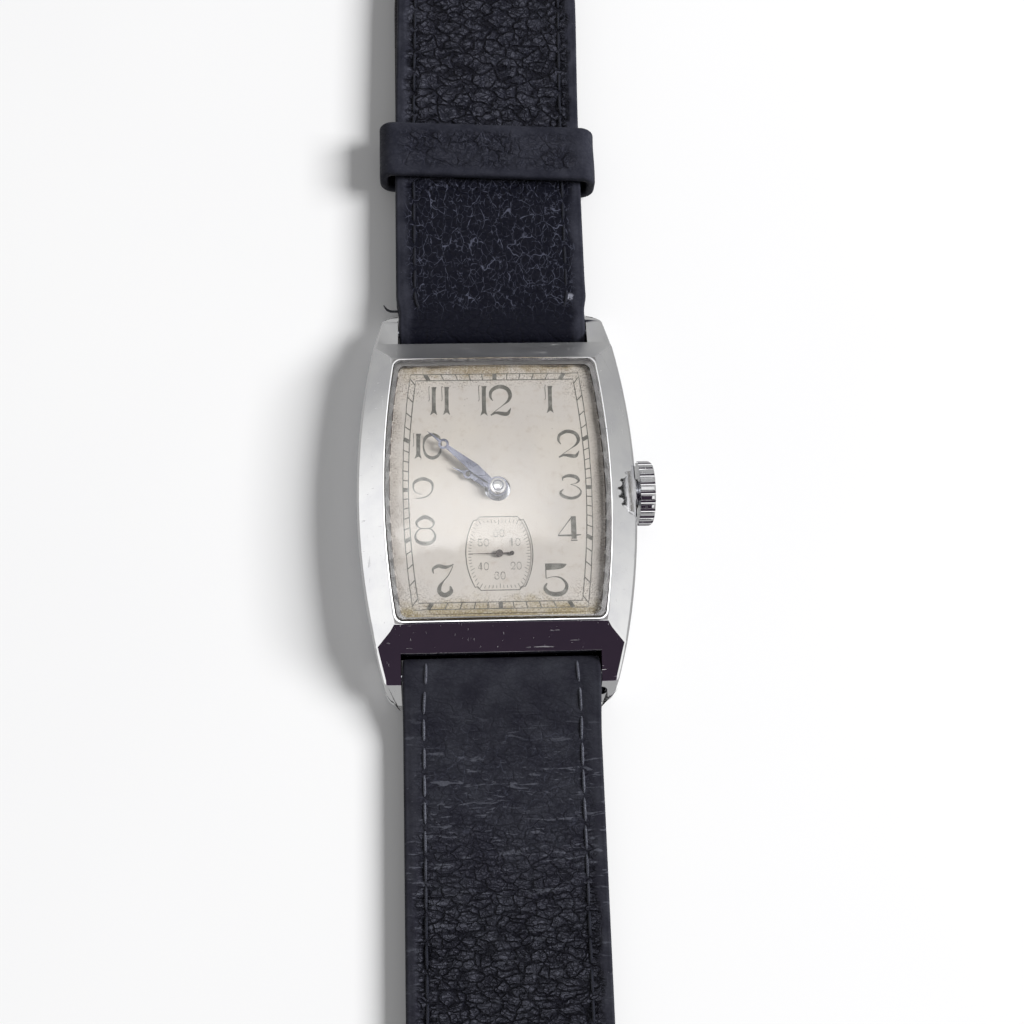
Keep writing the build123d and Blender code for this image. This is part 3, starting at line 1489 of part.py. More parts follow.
def main():
    os.makedirs("parts", exist_ok=True)
    minute_turn = (shown_minute + shown_second / 60) * 6
    hour_turn = (shown_hour + minute_turn / 360) * 30
    upper_leather, upper_lining = make_upper_strap()
    lower_leather, lower_lining = make_lower_strap()
    nodes = {
        "case_top": make_case_top(),
        "case_back": make_case_back(),
        "crystal": make_crystal(),
        "dial": make_dial(),
        "crown": make_crown(),
        "crown_tube": make_crown_tube(),
        "hour_hand": make_hour_hand(hour_turn),
        "minute_hand": make_minute_hand(minute_turn),
        "seconds_hand": make_seconds_hand(shown_second * 6),
        "main_plate": make_main_plate(),
        "barrel_bridge": make_barrel_bridge(),
        "train_bridge": make_train_bridge(),
        "balance_cock": make_balance_cock(),
        "pallet_cock": make_pallet_cock(),
        "regulator": make_regulator(),
        "jewels": make_jewels(),
        "bridge_screws": make_bridge_screws(),
        "barrel_drum": make_barrel_drum(),
        "barrel_lid": make_barrel_lid(),
        "barrel_arbor": make_barrel_arbor(),
        "mainspring": make_mainspring(),
        "ratchet_wheel": make_ratchet_wheel(),
        "ratchet_screw": make_ratchet_screw(),
        "crown_wheel": make_crown_wheel(),
        "crown_wheel_screw": make_crown_wheel_screw(),
        "click": make_click(),
        "click_spring": make_click_spring(),
        "centre_wheel": make_centre_wheel(),
        "third_wheel": make_third_wheel(),
        "fourth_wheel": make_fourth_wheel(),
        "escape_wheel": make_escape_wheel(),
        "pallet_fork": make_pallet_fork(),
        "pallet_stones": make_pallet_stones(),
        "balance_wheel": make_balance_wheel(),
        "balance_staff": make_balance_staff(),
        "roller": make_roller(),
        "hairspring": make_hairspring(),
        "cannon_pinion": make_cannon_pinion(),
        "minute_wheel": make_minute_wheel(),
        "hour_wheel": make_hour_wheel(),
        "setting_wheel": make_setting_wheel(),
        "winding_stem": make_winding_stem(),
        "winding_pinion": make_winding_pinion(),
        "sliding_pinion": make_sliding_pinion(),
        "setting_lever": make_setting_lever(),
        "yoke": make_yoke(),
        "upper_spring_bar": make_spring_bar(1),
        "lower_spring_bar": make_spring_bar(-1),
        "upper_strap": upper_leather,
        "upper_strap_lining": upper_lining,
        "lower_strap": lower_leather,
        "lower_strap_lining": lower_lining,
        "loose_keeper": make_keeper(loose_keeper_y),
        "fixed_keeper": make_keeper(fixed_keeper_y),
        "buckle_frame": make_buckle_frame(),
        "buckle_bar": make_buckle_bar(),
        "buckle_tongue": make_buckle_tongue(),
    }
    for node, shape in nodes.items():
        write(node, shape)


main()
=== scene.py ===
import bpy
import bmesh
import math
import random
from mathutils import Matrix, Vector, noise


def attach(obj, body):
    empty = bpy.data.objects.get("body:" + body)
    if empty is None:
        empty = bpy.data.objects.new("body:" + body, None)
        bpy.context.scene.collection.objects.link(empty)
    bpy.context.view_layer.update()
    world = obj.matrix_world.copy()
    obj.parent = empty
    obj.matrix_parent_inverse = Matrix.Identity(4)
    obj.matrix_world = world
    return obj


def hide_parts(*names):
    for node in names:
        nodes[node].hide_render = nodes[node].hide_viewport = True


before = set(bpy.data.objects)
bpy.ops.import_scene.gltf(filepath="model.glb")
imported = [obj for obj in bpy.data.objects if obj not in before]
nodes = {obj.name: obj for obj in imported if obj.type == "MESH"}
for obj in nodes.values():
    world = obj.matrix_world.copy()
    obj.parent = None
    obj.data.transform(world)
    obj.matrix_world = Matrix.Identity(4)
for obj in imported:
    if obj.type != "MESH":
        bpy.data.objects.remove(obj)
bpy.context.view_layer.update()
draw = random.Random(1935)

# Sizes are in millimetres, which MM makes metres; PICTURE and FOCAL_PX are in pixels
MM = 0.001
PICTURE = 1024
FOCAL_PX = 1510.53
SENSOR = 36.0

# Sizes, most of them the CAD model's
BAR_Y = 16.95
BAR_Z = 2.4
LOOP_MIDDLE = 1.225
LEATHER = 0.85
SKIN_HALF = LEATHER / 2
STRAP_HALF = 9.05
UPPER_BULGE = 0.27
STRAP_END_HALF = 8.0
TAPER_Y = 46.95
SLOPE_END_Y = 22.95
FLAP_END_Y = 26.45
UPPER_END_Y = 86.95
UPPER_LIFT = 1.0
TOP_MIDDLE = 1.775
FLAP_MIDDLE = 0.425
BUCKLE_FLAP_Y = 79.95
BUCKLE_BAR_Z = 2.1
BUCKLE_BEND = 0.9
BUCKLE_SKIN_HALF = 0.2
LOWER_END_Y = 121.95
TIP_LENGTH = 9.0
TIP_FLAT_HALF = 0.35
HOLES_Y = [97.95 - 6.5 * i for i in range(7)]
HOLE_RADIUS = 1.0
SLOT_HALF = 1.5
SLOT_LENGTH = 6.0
KEEPER_HALF_WIDE = 10.85
KEEPER_HALF_LONG = 2.93
KEEPER_MIDDLE_Z = 2.125
KEEPER_CORNER = 1.075
DIAL_Z = 5.5
SUB_Z = 5.44
SECONDS_Y = -6.25
WIDEST_ROUNDING = 0.3
STITCH_PITCH = 2.45
STITCH_LENGTH = 2.05
STITCH_INSET = 1.88
INK_HEIGHT = 0.012
THINNEST_LINE = 0.012


# Helpers for shapes
def smooth_step(low, high, value):
    share = min(1.0, max(0.0, (value - low) / (high - low)))
    return share * share * (3 - 2 * share)


def hump(value, centre, width):
    return math.exp(-(((value - centre) / width) ** 2))


def wave(x, y, seed):
    """Smooth random height between -1 and 1."""
    return noise.noise(Vector((x, y, seed)))


def add_thing(name, data):
    thing = bpy.data.objects.new(name, data)
    bpy.context.scene.collection.objects.link(thing)
    return thing


def finish_piece(mesh_data, name, material, body, replaced=(), smooth=True):
    """Names a mesh, gives it its material and its body, and hides the CAD parts it takes the place of."""
    mesh_data.validate()
    piece = add_thing(name, mesh_data)
    mesh_data.materials.append(material)
    mesh_data.shade_smooth() if smooth else mesh_data.shade_flat()
    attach(piece, body)
    if replaced:
        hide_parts(*replaced)
    return piece


def mesh_from(name, points, faces):
    made = bpy.data.meshes.new(name)
    made.from_pydata([(x * MM, y * MM, z * MM) for x, y, z in points], [], faces)
    return made


def catmull(points, steps):
    """Smooth curve through points of any dimension."""
    ends = [points[0]] + list(points) + [points[-1]]
    line = []
    for i in range(1, len(ends) - 2):
        p0, p1, p2, p3 = ends[i - 1:i + 3]
        for step in range(steps):
            t = step / steps
            line.append(tuple(
                0.5 * (2 * b + (c - a) * t + (2 * a - 5 * b + 4 * c - d) * t * t
                       + (3 * b - a - 3 * c + d) * t ** 3)
                for a, b, c, d in zip(p0, p1, p2, p3)
            ))
    line.append(tuple(points[-1]))
    return line


# Helpers for materials
class Level:
    """Output of a node that adds, multiplies and compares like a number."""

    def __init__(self, tree, socket):
        self.tree = tree
        self.socket = socket

    def __add__(self, other):
        return self.tree.math("ADD", self, other)

    def __sub__(self, other):
        return self.tree.math("SUBTRACT", self, other)

    def __rsub__(self, other):
        return self.tree.math("SUBTRACT", other, self)

    def __mul__(self, other):
        return self.tree.math("MULTIPLY", self, other)

    def __or__(self, other):
        """The larger of the two."""
        return self.tree.math("MAXIMUM", self, other)

    def __abs__(self):
        return self.tree.math("ABSOLUTE", self, 0.0)


class Tree:
    """Nodes of a material or of the world."""

    def __init__(self, owner):
        owner.use_nodes = True
        self.nodes = owner.node_tree.nodes
        self.links = owner.node_tree.links

    def feed(self, socket, value):
        if isinstance(value, Level):
            self.links.new(value.socket, socket)
        else:
            socket.default_value = value

    def node(self, kind, output, inputs=None, **settings):
        """One output of a new node whose inputs are numbers, colours or levels."""
        made = self.nodes.new("ShaderNode" + kind)
        for key, value in settings.items():
            setattr(made, key, value)
        for socket, value in (inputs or {}).items():
            self.feed(made.inputs[socket], value)
        return Level(self, made.outputs[output])

    def math(self, operation, first, second):
        return self.node("Math", 0, {0: first, 1: second}, operation=operation)

    def span(self, value, low, high, to_low=0.0, to_high=1.0):
        """Smooth step of a level from one range to another."""
        inputs = {"Value": value, "From Min": low, "From Max": high, "To Min": to_low, "To Max": to_high}
        return self.node("MapRange", "Result", inputs, interpolation_type="SMOOTHSTEP")

    def mix(self, share, first, second):
        return self.node("Mix", "Result", {"Factor": share, "A": first, "B": second}, data_type="RGBA")

    def ray(self, question):
        return self.node("LightPath", question)


class Finish(Tree):
    """A material around one Principled shader; its coordinates are millimetres of the part."""

    def __init__(self, name, **sockets):
        self.material = bpy.data.materials.new(name)
        super().__init__(self.material)
        self.shader = self.nodes["Principled BSDF"]
        metres = self.node("TexCoord", "Object")
        self.place = self.node("VectorMath", 0, {0: metres, "Scale": 1 / MM}, operation="SCALE")
        for socket, value in sockets.items():
            self.shader.inputs[socket.replace("_", " ")].default_value = value

    def stretched(self, scale):
        return self.node("VectorMath", 0, {0: self.place, 1: scale}, operation="MULTIPLY")

    def noise(self, scale, detail=3.0, rough=0.5, stretch=(1, 1, 1), warp=0.0):
        inputs = {"Scale": scale, "Detail": detail, "Roughness": rough, "Distortion": warp}
        return self.node("TexNoise", "Fac", {"Vector": self.stretched(stretch), **inputs})

    def cells(self, scale, stretch=(1, 1, 1)):
        return self.node("TexVoronoi", "Distance", {"Vector": self.stretched(stretch), "Scale": scale})

    def pebbles(self, scale, stretch, warp):
        """Distance from the edges of uneven cells: 0 in a crease."""
        drift = self.node("TexNoise", "Color", {"Vector": self.place, "Scale": scale * 0.9})
        inputs = {0: drift, 1: (warp * 2 / scale,) * 3, 2: self.stretched(stretch)}
        uneven = self.node("VectorMath", 0, inputs, operation="MULTIPLY_ADD")
        cells = {"Vector": uneven, "Scale": scale}
        return self.node("TexVoronoi", "Distance", cells, feature="DISTANCE_TO_EDGE")

    def near(self, point, radius):
        """1 within half a radius of a point of the part, 0 outside the radius."""
        away = self.node("VectorMath", "Value", {0: self.place, 1: point}, operation="DISTANCE")
        return self.span(away, radius, radius / 2)

    def axis(self, name):
        return self.node("SeparateXYZ", name, {0: self.place})

    def painted(self, name):
        return self.node("Attribute", "Fac", attribute_name=name)

    def coated(self, tone, coats):
        """Lays (share, sRGB levels) coats over a colour, one after another."""
        for share, colour in coats:
            tone = self.mix(share, tone, rgb(*colour))
        return tone

    def clear_where(self, share, tint=(1, 1, 1, 1)):
        """Lets light straight through where a level is 1."""
        clear = self.node("BsdfTransparent", 0, {"Color": tint})
        solid = Level(self, self.shader.outputs[0])
        shown = self.node("MixShader", 0, {0: share, 1: solid, 2: clear})
        self.feed(self.nodes["Material Output"].inputs["Surface"], shown)

    def dressed(self, colour, rough=None, height=None, depth=0.0):
        """Feeds the shader its colour, roughness and relief, and gives the material."""
        self.feed(self.shader.inputs["Base Color"], colour)
        if rough:
            self.feed(self.shader.inputs["Roughness"], rough)
        if height:
            relief = {"Strength": 1.0, "Distance": depth * MM, "Height": height}
            self.feed(self.shader.inputs["Normal"], self.node("Bump", 0, relief))
        return self.material


def rgb(red, green, blue):
    """sRGB levels from 0 to 255 as linear light."""
    light = [c / 255 for c in (red, green, blue)]
    return tuple(c / 12.92 if c < 0.04045 else ((c + 0.055) / 1.055) ** 2.4 for c in light) + (1.0,)


def metal(name, colour, worn, low_rough, high_rough, scratch_scale, scratch_depth, stretch=(1, 1, 1)):
    """Metal with cloudy wear, fine scratches and a worn tint; a value painted on faces makes it rougher and,
    where high, darkens it with painted shade.
    """
    made = Finish(name, Metallic=1.0)
    cloud = made.noise(0.35, 3.0, 0.5)
    dull_and_shaded = made.painted("dull_and_shaded")
    bright = made.mix(made.span(cloud, 0.35, 0.7), rgb(*colour), rgb(*worn))
    # Painted shade: where the painted value is high the colour turns a dark brownish grey.
    tone = made.mix(made.span(dull_and_shaded, 0.3, 1.0), bright, rgb(86, 76, 68))
    long_marks = made.noise(scratch_scale, 1.0, 0.5, (1, 0.03, 0.3), 0.5)
    cross_marks = made.noise(scratch_scale, 1.0, 0.5, (0.04, 1, 0.3), 0.3)
    here = made.span(made.noise(0.9, 2.0), 0.48, 0.6)
    scratches = (made.span(long_marks, 0.68, 0.75) | made.span(cross_marks, 0.69, 0.76)) * here
    pits = made.span(made.cells(0.9), 0.055, 0.035)
    marks = scratches | pits
    grain = made.noise(scratch_scale, 2.0, 0.5, stretch)
    rough = made.span(cloud, 0.3, 0.75, low_rough, high_rough) + marks * 0.45 + dull_and_shaded * 0.8
    return made.dressed(tone, rough, grain * 0.25 - marks, scratch_depth)


STEEL = metal("polished_steel", (232, 232, 232), (224, 224, 226), 0.06, 0.11, 7.0, 0.0015)
BACK_STEEL = metal("brushed_steel", (196, 196, 200), (170, 170, 176), 0.24, 0.4, 9.0, 0.006, (0.05, 1, 1))
PART_STEEL = metal("steel_part", (186, 188, 194), (150, 152, 160), 0.16, 0.32, 8.0, 0.003)
NICKEL = metal("nickelled_brass_plate", (214, 204, 182), (190, 172, 138), 0.2, 0.38, 5.0, 0.004, (1, 0.1, 1))
BRASS = metal("brass_wheel", (214, 176, 104), (168, 128, 66), 0.18, 0.36, 8.0, 0.003)
BLUED = metal("blued_steel", (118, 120, 132), (74, 76, 92), 0.16, 0.34, 10.0, 0.002)
DARK_STEEL = metal("darkened_steel", (82, 76, 74), (52, 46, 46), 0.25, 0.45, 10.0, 0.002)
PLATED = metal("plated_buckle", (218, 216, 212), (186, 180, 168), 0.1, 0.26, 6.0, 0.002)


def make_leather(name, dark, light, scale, depth, scuff=None, creased=False):
    """Leather whose painted values are its grain, its fine pale cracks and its hollows, which take painted
    shade; pebble tops get a painted highlight and the folds between them painted shade.
    """
    made = Finish(name, Specular_IOR_Level=0.14)
    grain, crack, hollow_shade = (made.painted(value) for value in ("grain", "crack", "hollow_shade"))
    flat = (0.85, 1.7 if creased else 1.3, 0.5)
    large = made.span(made.pebbles(scale, flat, 0.7), 0.0, 0.15)
    small = made.span(made.pebbles(scale * 2.5, flat, 0.7), 0.0, 0.2)
    pores = made.noise(scale * 9, 4.0, 0.65)
    top_highlight = large * small * made.span(pores, 0.35, 0.7)
    rough_patch = made.span(made.noise(0.5, 2.0), 0.4, 0.6)
    fold_shade = (1.0 - large) | (1.0 - small) * (rough_patch * 0.7)
    wide_net = made.span(made.pebbles(0.5, (1.3, 0.8, 0.6), 0.5), 0.022, 0.0066)
    fine_net = made.span(made.pebbles(1.3, (1.3, 0.7, 0.6), 0.5), 0.03, 0.009)
    here = made.span(made.noise(1.3, 3.0), 0.42, 0.6)
    there = made.span(made.noise(0.9, 3.0, 0.6, (1, 1.3, 1)), 0.62, 0.48)
    from_middle = abs(made.axis("Y"))
    pale = (wide_net * here | fine_net * (there * 0.6)) * made.span(from_middle, 17.0, 20.5)
    # The first three coats are painted light: a highlight on the pebble tops, shade in the folds between
    # them and shade in the painted hollows.
    coats = [
        (top_highlight * (grain * 0.75), (92, 93, 104)),
        (fold_shade * (grain * 0.75), (11, 11, 18)),
        (hollow_shade * 0.5, (9, 9, 16)),
        (crack * 0.95, (10, 11, 21)),
        (pale * (crack * 0.62), (100, 103, 120)),
    ]
    if creased:
        lines = made.span(made.noise(1.5, 4.0, 0.6, (0.3, 1.6, 0.5), 0.6), 0.585, 0.64)
        between = made.span(from_middle, 18.0, 26.0) * made.span(from_middle, 46.0, 34.0, 0.35)
        coats.append((lines * (between * 0.5), (96, 98, 108)))
    flecks = made.span(made.noise(2.6, 4.0, 0.75, (1, 1.5, 1)), 0.69, 0.73)
    coats.append((flecks * 0.45, (112, 114, 124)))
    if scuff:
        rubbed = made.near(*scuff) * made.span(made.noise(4.0, 2.0), 0.4, 0.5)
        coats.append((rubbed * 0.8, (170, 172, 186)))
    tone = made.mix(made.span(made.noise(0.35, 4.0, 0.6), 0.3, 0.72), dark, light)
    rough = made.span(small, 0.0, 1.0, 0.62, 0.44) + pores * 0.14
    relief = (large * 0.8 + small * 0.35 + pores * 0.3) * grain + pores * 0.06
    return made.dressed(made.coated(tone, coats), rough, relief, depth)


SCUFF = ((7.7, 20.2, 3.3), 0.6)
LEATHER_COAT = make_leather("navy_leather", rgb(34, 35, 44), rgb(52, 53, 62), 0.6, 0.28, SCUFF)
LOWER_COAT = make_leather("creased_leather", rgb(33, 33, 41), rgb(50, 51, 58), 0.75, 0.24, creased=True)
LINING_COAT = make_leather("lining_leather", rgb(36, 34, 38), rgb(52, 48, 50), 1.6, 0.08)


def make_ruby():
    made = Finish("ruby", Roughness=0.08, Coat_Weight=0.4)
    swirl = made.span(made.noise(6.0, 3.0, 0.6), 0.3, 0.7)
    return made.dressed(made.mix(swirl, rgb(150, 16, 52), rgb(206, 44, 84)))


def make_dial_finish():
    """Silvering with tarnished ends, worn sides and dust along its edges."""
    made = Finish("silvered_dial", Metallic=0.0)
    across = abs(made.axis("X"))
    along = made.axis("Y")
    blotch = made.noise(0.55, 5.0, 0.62, (1, 1, 0.2))
    ripple = (blotch - 0.5) * 5.0
    side = made.span(across + ripple * 0.5, 8.2, 10.2)
    outward = abs(along) + ripple * 0.4
    corner = made.span(across, 5.8, 7.4) * made.span(outward, 8.0, 10.0)
    worn = made.span(outward, 9.6, 10.8) * 0.9 | side | corner
    specks = made.span(made.cells(2.2, (1, 1, 0.3)), 0.16, 0.07)
    sparse = made.span(made.noise(0.8, 2.0), 0.5, 0.68)
    dust = made.noise(6.0, 4.0, 0.8)
    tone = made.coated(rgb(208, 201, 192), (
        (made.span(made.noise(0.16, 2.0), 0.3, 0.7), (200, 194, 188)),
        (made.span(made.noise(1.1, 5.0, 0.7), 0.5, 0.75, 0, 0.5), (176, 162, 148)),
        (side * 0.55, (168, 158, 150)),
        (made.span(along + ripple, 10.6, 12.6) * 0.85, (150, 132, 96)),
        (made.span(ripple - along, 10.2, 12.2) * 0.9, (158, 142, 98)),
        (specks * (worn * 0.9 | sparse * 0.5), (104, 90, 80)),
        (made.span(dust, 0.53, 0.58) * (worn * 0.85), (112, 98, 86)),
        (made.span(dust, 0.46, 0.41) * (worn * 0.75), (214, 208, 198)),
    ))
    return made.dressed(tone, made.span(blotch, 0.3, 0.7, 0.42, 0.62), made.noise(9.0, 3.0, 0.6), 0.006)


def make_print_ink():
    made = Finish("dial_ink", Roughness=0.45)
    fade = made.span(made.noise(1.3, 4.0, 0.65), 0.42, 0.72)
    tone = made.mix(fade, rgb(88, 86, 80), rgb(134, 132, 126))
    return made.dressed(tone, None, made.noise(14.0, 2.0), 0.002)


def make_crystal_finish():
    """Clear acrylic that lets the lamp's light through, with painted shade darkening its tint on its upright
    walls.
    """
    sockets = {"Base_Color": (1, 1, 1, 1), "IOR": 1.1, "Transmission_Weight": 1.0, "Coat_Weight": 1.0}
    made = Finish("crystal_glass", **sockets)
    wear = made.span(made.noise(3.0, 3.0, 0.6, (1, 0.15, 1)), 0.5, 0.8, 0.0, 0.05)
    # Painted shade: upright walls of the crystal take a darker tint.
    normal = made.node("NewGeometry", "True Normal")
    wall = made.span(abs(made.node("SeparateXYZ", "Z", {0: normal})), 0.6, 0.4)
    made.clear_where(made.ray("Is Shadow Ray"), (0.96, 0.96, 0.96, 1))
    return made.dressed(made.mix(wall, (1, 1, 1, 1), rgb(96, 92, 82)), wear)


def make_thread():
    """Dark worn thread, still pale just below the case."""
    made = Finish("thread", Roughness=0.75)
    twist = made.noise(9.0, 2.0, 0.5, (1, 1.8, 1))
    along = made.axis("Y")
    pale = made.span(along, -40, -28) * made.span(along, 0, -1)
    worn = made.mix(made.span(twist, 0.35, 0.65), rgb(14, 15, 23), rgb(38, 40, 50))
    fresh = made.mix(made.span(twist, 0.4, 0.6), rgb(58, 59, 68), rgb(104, 106, 116))
    return made.dressed(made.mix(pale, worn, fresh), None, twist, 0.05)


RUBY = make_ruby()
DIAL_FINISH = make_dial_finish()
INK = make_print_ink()
GLASS = make_crystal_finish()
THREAD = make_thread()

# Every node that isn't named here is plain steel
coats = {
    STEEL: "case_top crown",
    BACK_STEEL: "case_back",
    GLASS: "crystal",
    DIAL_FINISH: "dial",
    DARK_STEEL: "seconds_hand",
    NICKEL: "main_plate barrel_bridge train_bridge balance_cock pallet_cock",
    RUBY: "jewels pallet_stones",
    BRASS: "barrel_drum barrel_lid centre_wheel third_wheel fourth_wheel balance_wheel minute_wheel",
    BLUED: "hour_hand minute_hand mainspring hairspring bridge_screws ratchet_screw crown_wheel_screw",
    PLATED: "buckle_frame buckle_bar buckle_tongue",
}
finishes = {name: coat for coat, names in coats.items() for name in names.split()}
for node_name, node_object in nodes.items():
    node_object.data.materials.clear()
    node_object.data.materials.append(finishes.get(node_name, PART_STEEL))


# Leather bands
def band(name, path, columns, place, material, body, slot, replaced, closed=False, bare=None, snap=None):
    """Thick band swept along path. place(k, j, side) is a point and its paints on either face."""
    rows, count = len(path), len(columns)
    points, paints = zip(*(
        place(k, j, side) for side in (1, -1) for k in range(rows) for j in range(count)
    ))
    points = list(points)

    def index(k, j, face):
        return face * rows * count + (k % rows) * count + j

    kept = {
        (k, j) for k in range(rows if closed else rows - 1) for j in range(count - 1)
        if not (bare and bare(k, j))
    }
    faces, rim = [], set()
    for k, j in sorted(kept):
        corners = [(k, j), (k + 1, j), (k + 1, j + 1), (k, j + 1)]
        faces.append([index(a, b, 0) for a, b in corners])
        faces.append([index(a, b, 1) for a, b in reversed(corners)])
        around = [(k, j - 1), (k + 1, j), (k, j + 1), (k - 1, j)]
        for side, (a, b) in enumerate(around):
            if (a % rows if closed else a, b) in kept:
                continue
            first, second = corners[side], corners[(side + 1) % 4]
            faces.append([index(*second, 0), index(*first, 0), index(*first, 1), index(*second, 1)])
            rim.update((first, second))
    if snap:
        for i in {index(k, j, face) for k, j in rim for face in (0, 1)}:
            points[i] = snap(points[i])
    used = sorted({i for face in faces for i in face})
    fresh = {before: after for after, before in enumerate(used)}
    made = mesh_from(name, [points[i] for i in used], [[fresh[i] for i in face] for face in faces])
    for number, paint_name in enumerate(("grain", "crack", "hollow_shade")):
        layer = made.attributes.new(paint_name, "FLOAT", "POINT")
        layer.data.foreach_set("value", [paints[i][number] for i in used])
    return finish_piece(made, name, material, body, replaced)


def steps_between(low, high, step):
    count = max(1, round((high - low) / step))
    return [low + (high - low) * i / count for i in range(count)]


def edge_columns(half, step, fine=(0.0, 0.05, 0.12, 0.22, 0.34, 0.46, 0.6)):
    inner = half - fine[-1] - step
    middle = steps_between(-inner, inner, step) + [inner]
    return [-half + e for e in fine] + middle + [half - e for e in reversed(fine)]


def edge_share(distance, radius):
    """Thickness left at a distance from a rounded edge."""
    if distance >= radius:
        return 1.0
    return 0.22 + 0.78 * math.sqrt(max(0.0, 1 - (1 - distance / radius) ** 2))


def strap_half_at(y, tip_y=None):
    """Half the strap's width at a distance from the case's middle."""
    if tip_y:
        half, taper_y, end_y = STRAP_HALF, TAPER_Y, tip_y - TIP_LENGTH
    else:
        half = STRAP_HALF + UPPER_BULGE * smooth_step(18.6, 20.6, y)
        taper_y, end_y = TAPER_Y + 7.0, UPPER_END_Y + 3.3
    if y > taper_y:
        half += (STRAP_END_HALF - half) * min(1.0, (y - taper_y) / (end_y - taper_y))
    if tip_y and y > end_y:
        share = (y - end_y) / TIP_LENGTH
        half = TIP_FLAT_HALF + (STRAP_END_HALF - TIP_FLAT_HALF) * math.sqrt(max(0.0, 1 - share ** 2.4))
    return half


def sideways_bend(y):
    """The upper strap lies a little off its line between the loose keeper and the buckle."""
    return 0.4 * hump(y, 57.0, 13.0)


def pebble(x, y, size, stretch):
    """Leather relief from 0 in a crease to 1 on a pebble."""
    shift_x = 0.6 * size * wave(x * 0.8, y * 0.8, 3.1)
    shift_y = 0.6 * size * wave(x * 0.8, y * 0.8, 7.9)
    at = Vector(((x + shift_x) / (size * stretch), (y + shift_y) / size, 0.7))
    nearest, second = noise.voronoi(at, distance_metric="DISTANCE")[0][:2]
    dome = 1 - smooth_step(0.1, 0.85, nearest)
    return 0.55 * dome + 0.45 * smooth_step(0.0, 0.3, second - nearest)


def crease(x, y, seed):
    """Depth from 0 to 1 of the few long creases that run across the leather."""
    bend = wave(x * 0.22 + seed, y * 0.55, 2.0 + seed)
    strength = smooth_step(-0.2, 0.25, wave(x * 0.3, y * 0.2, seed))
    return strength * (1 - smooth_step(0.0, 0.055, abs(bend)))


def strap_relief(x, y, half, way):
    """Height above the plain leather face, and the paints, at a place on the outer face; the hollow paint is
    painted shade for the creases and the groove by the stitching.
    """
    edge = half - abs(x)
    inside = smooth_step(0.7, 1.5, edge - 0.5 * wave(x * 0.2, y * 0.5, 9.0))
    groove = hump(edge, 1.85 + 0.12 * wave(x, y * 0.6, 5.0), 0.2) * smooth_step(16.8, 18.2, y)
    pucker = hump(edge, 1.5, 0.5) * wave(x * 0.4, y * 1.9, 6.0) * smooth_step(22.0, 30.0, y)
    if way > 0:
        coarse, near = smooth_step(30.0, 36.0, y), smooth_step(14.5, 16.0, y)
        plates, small = pebble(x + 40, y, 1.1, 1.2), pebble(x + 40, y, 0.5, 1.1)
        crack = near * (1 - smooth_step(32.5, 35.0, y))
    else:
        coarse, near = smooth_step(27.0, 42.0, y), smooth_step(17.5, 24.0, y)
        plates, small = pebble(x + 70, y + 9, 0.8, 1.6), pebble(x + 70, y + 9, 0.42, 1.4)
        crack = 0.25 * near * (1 - coarse)
    patch = smooth_step(-0.25, 0.3, wave(x * 0.35, y * 0.35, 12.0))
    fold = coarse * crease(x, y, 4.0 if way > 0 else 8.0)
    height = inside * (0.22 * coarse) * (plates - 0.75 + 0.35 * patch * (small - 0.6))
    height -= 0.06 * hump(edge, 0.42, 0.09) + inside * 0.1 * fold
    height -= 0.14 * groove * (0.45 + 0.55 * coarse) - 0.06 * pucker
    height += 0.05 * wave(x * 0.22, y * 0.18, 1.5) * inside
    grain = inside * (0.1 + 0.12 * near + 0.78 * coarse)
    # Painted shade: the hollow paint darkens creases, the gaps between plates and the groove by the
    # stitching.
    hollow_shade = inside * max(0.9 * fold, coarse * (1 - smooth_step(0.12, 0.45, plates)))
    return height, (max(grain, 0.05), crack * inside, max(hollow_shade, groove * (0.4 + 0.3 * coarse)))


def half_turn(y, z, radius, from_angle, half):
    """Half circle of folded leather; where it comes from below, only its second half is on top."""
    line = []
    for turn in range(19):
        angle = math.radians(from_angle - turn * 10)
        out_y, out_z = math.cos(angle), math.sin(angle)
        on_top = turn > 9 or from_angle > 0
        line.append((y + radius * out_y, z + radius * out_z, out_y, out_z, half, on_top))
    return line


def strap_path(lift, end_y, buckle, step):
    """Middle line of the folded outer leather as (y, z, normal y, normal z, half thickness, on top)."""
    low, high = BAR_Z - LOOP_MIDDLE, BAR_Z + LOOP_MIDDLE
    flap_z, top_z = lift + FLAP_MIDDLE, lift + TOP_MIDDLE
    line = []
    for y in steps_between(-FLAP_END_Y, -BAR_Y, 0.7):
        share = smooth_step(BAR_Y, SLOPE_END_Y, -y)
        line.append((-y, low + (flap_z - low) * share, 0.0, -1.0, SKIN_HALF, False))
    line += half_turn(BAR_Y, BAR_Z, LOOP_MIDDLE, -90, SKIN_HALF)
    for y in steps_between(BAR_Y + step, SLOPE_END_Y, step):
        share = smooth_step(BAR_Y, SLOPE_END_Y, y)
        line.append((y, high + (top_z - high) * share, 0.0, 1.0, SKIN_HALF, True))
    ends = [] if buckle else [end_y]
    line += [(y, top_z, 0.0, 1.0, SKIN_HALF, True) for y in steps_between(SLOPE_END_Y, end_y, step) + ends]
    if not buckle:
        return line
    line += half_turn(end_y, BUCKLE_BAR_Z, BUCKLE_BEND, 90, BUCKLE_SKIN_HALF)
    for y in steps_between(-end_y + step, -BUCKLE_FLAP_Y, 0.7) + [-BUCKLE_FLAP_Y]:
        growth = 0.225 * smooth_step(0.0, 3.0, end_y + y)
        line.append((-y, 1.2 + growth, 0.0, -1.0, BUCKLE_SKIN_HALF + growth, False))
    return line


def in_hole(x, y):
    return any(math.hypot(x, y - hole) < HOLE_RADIUS for hole in HOLES_Y)


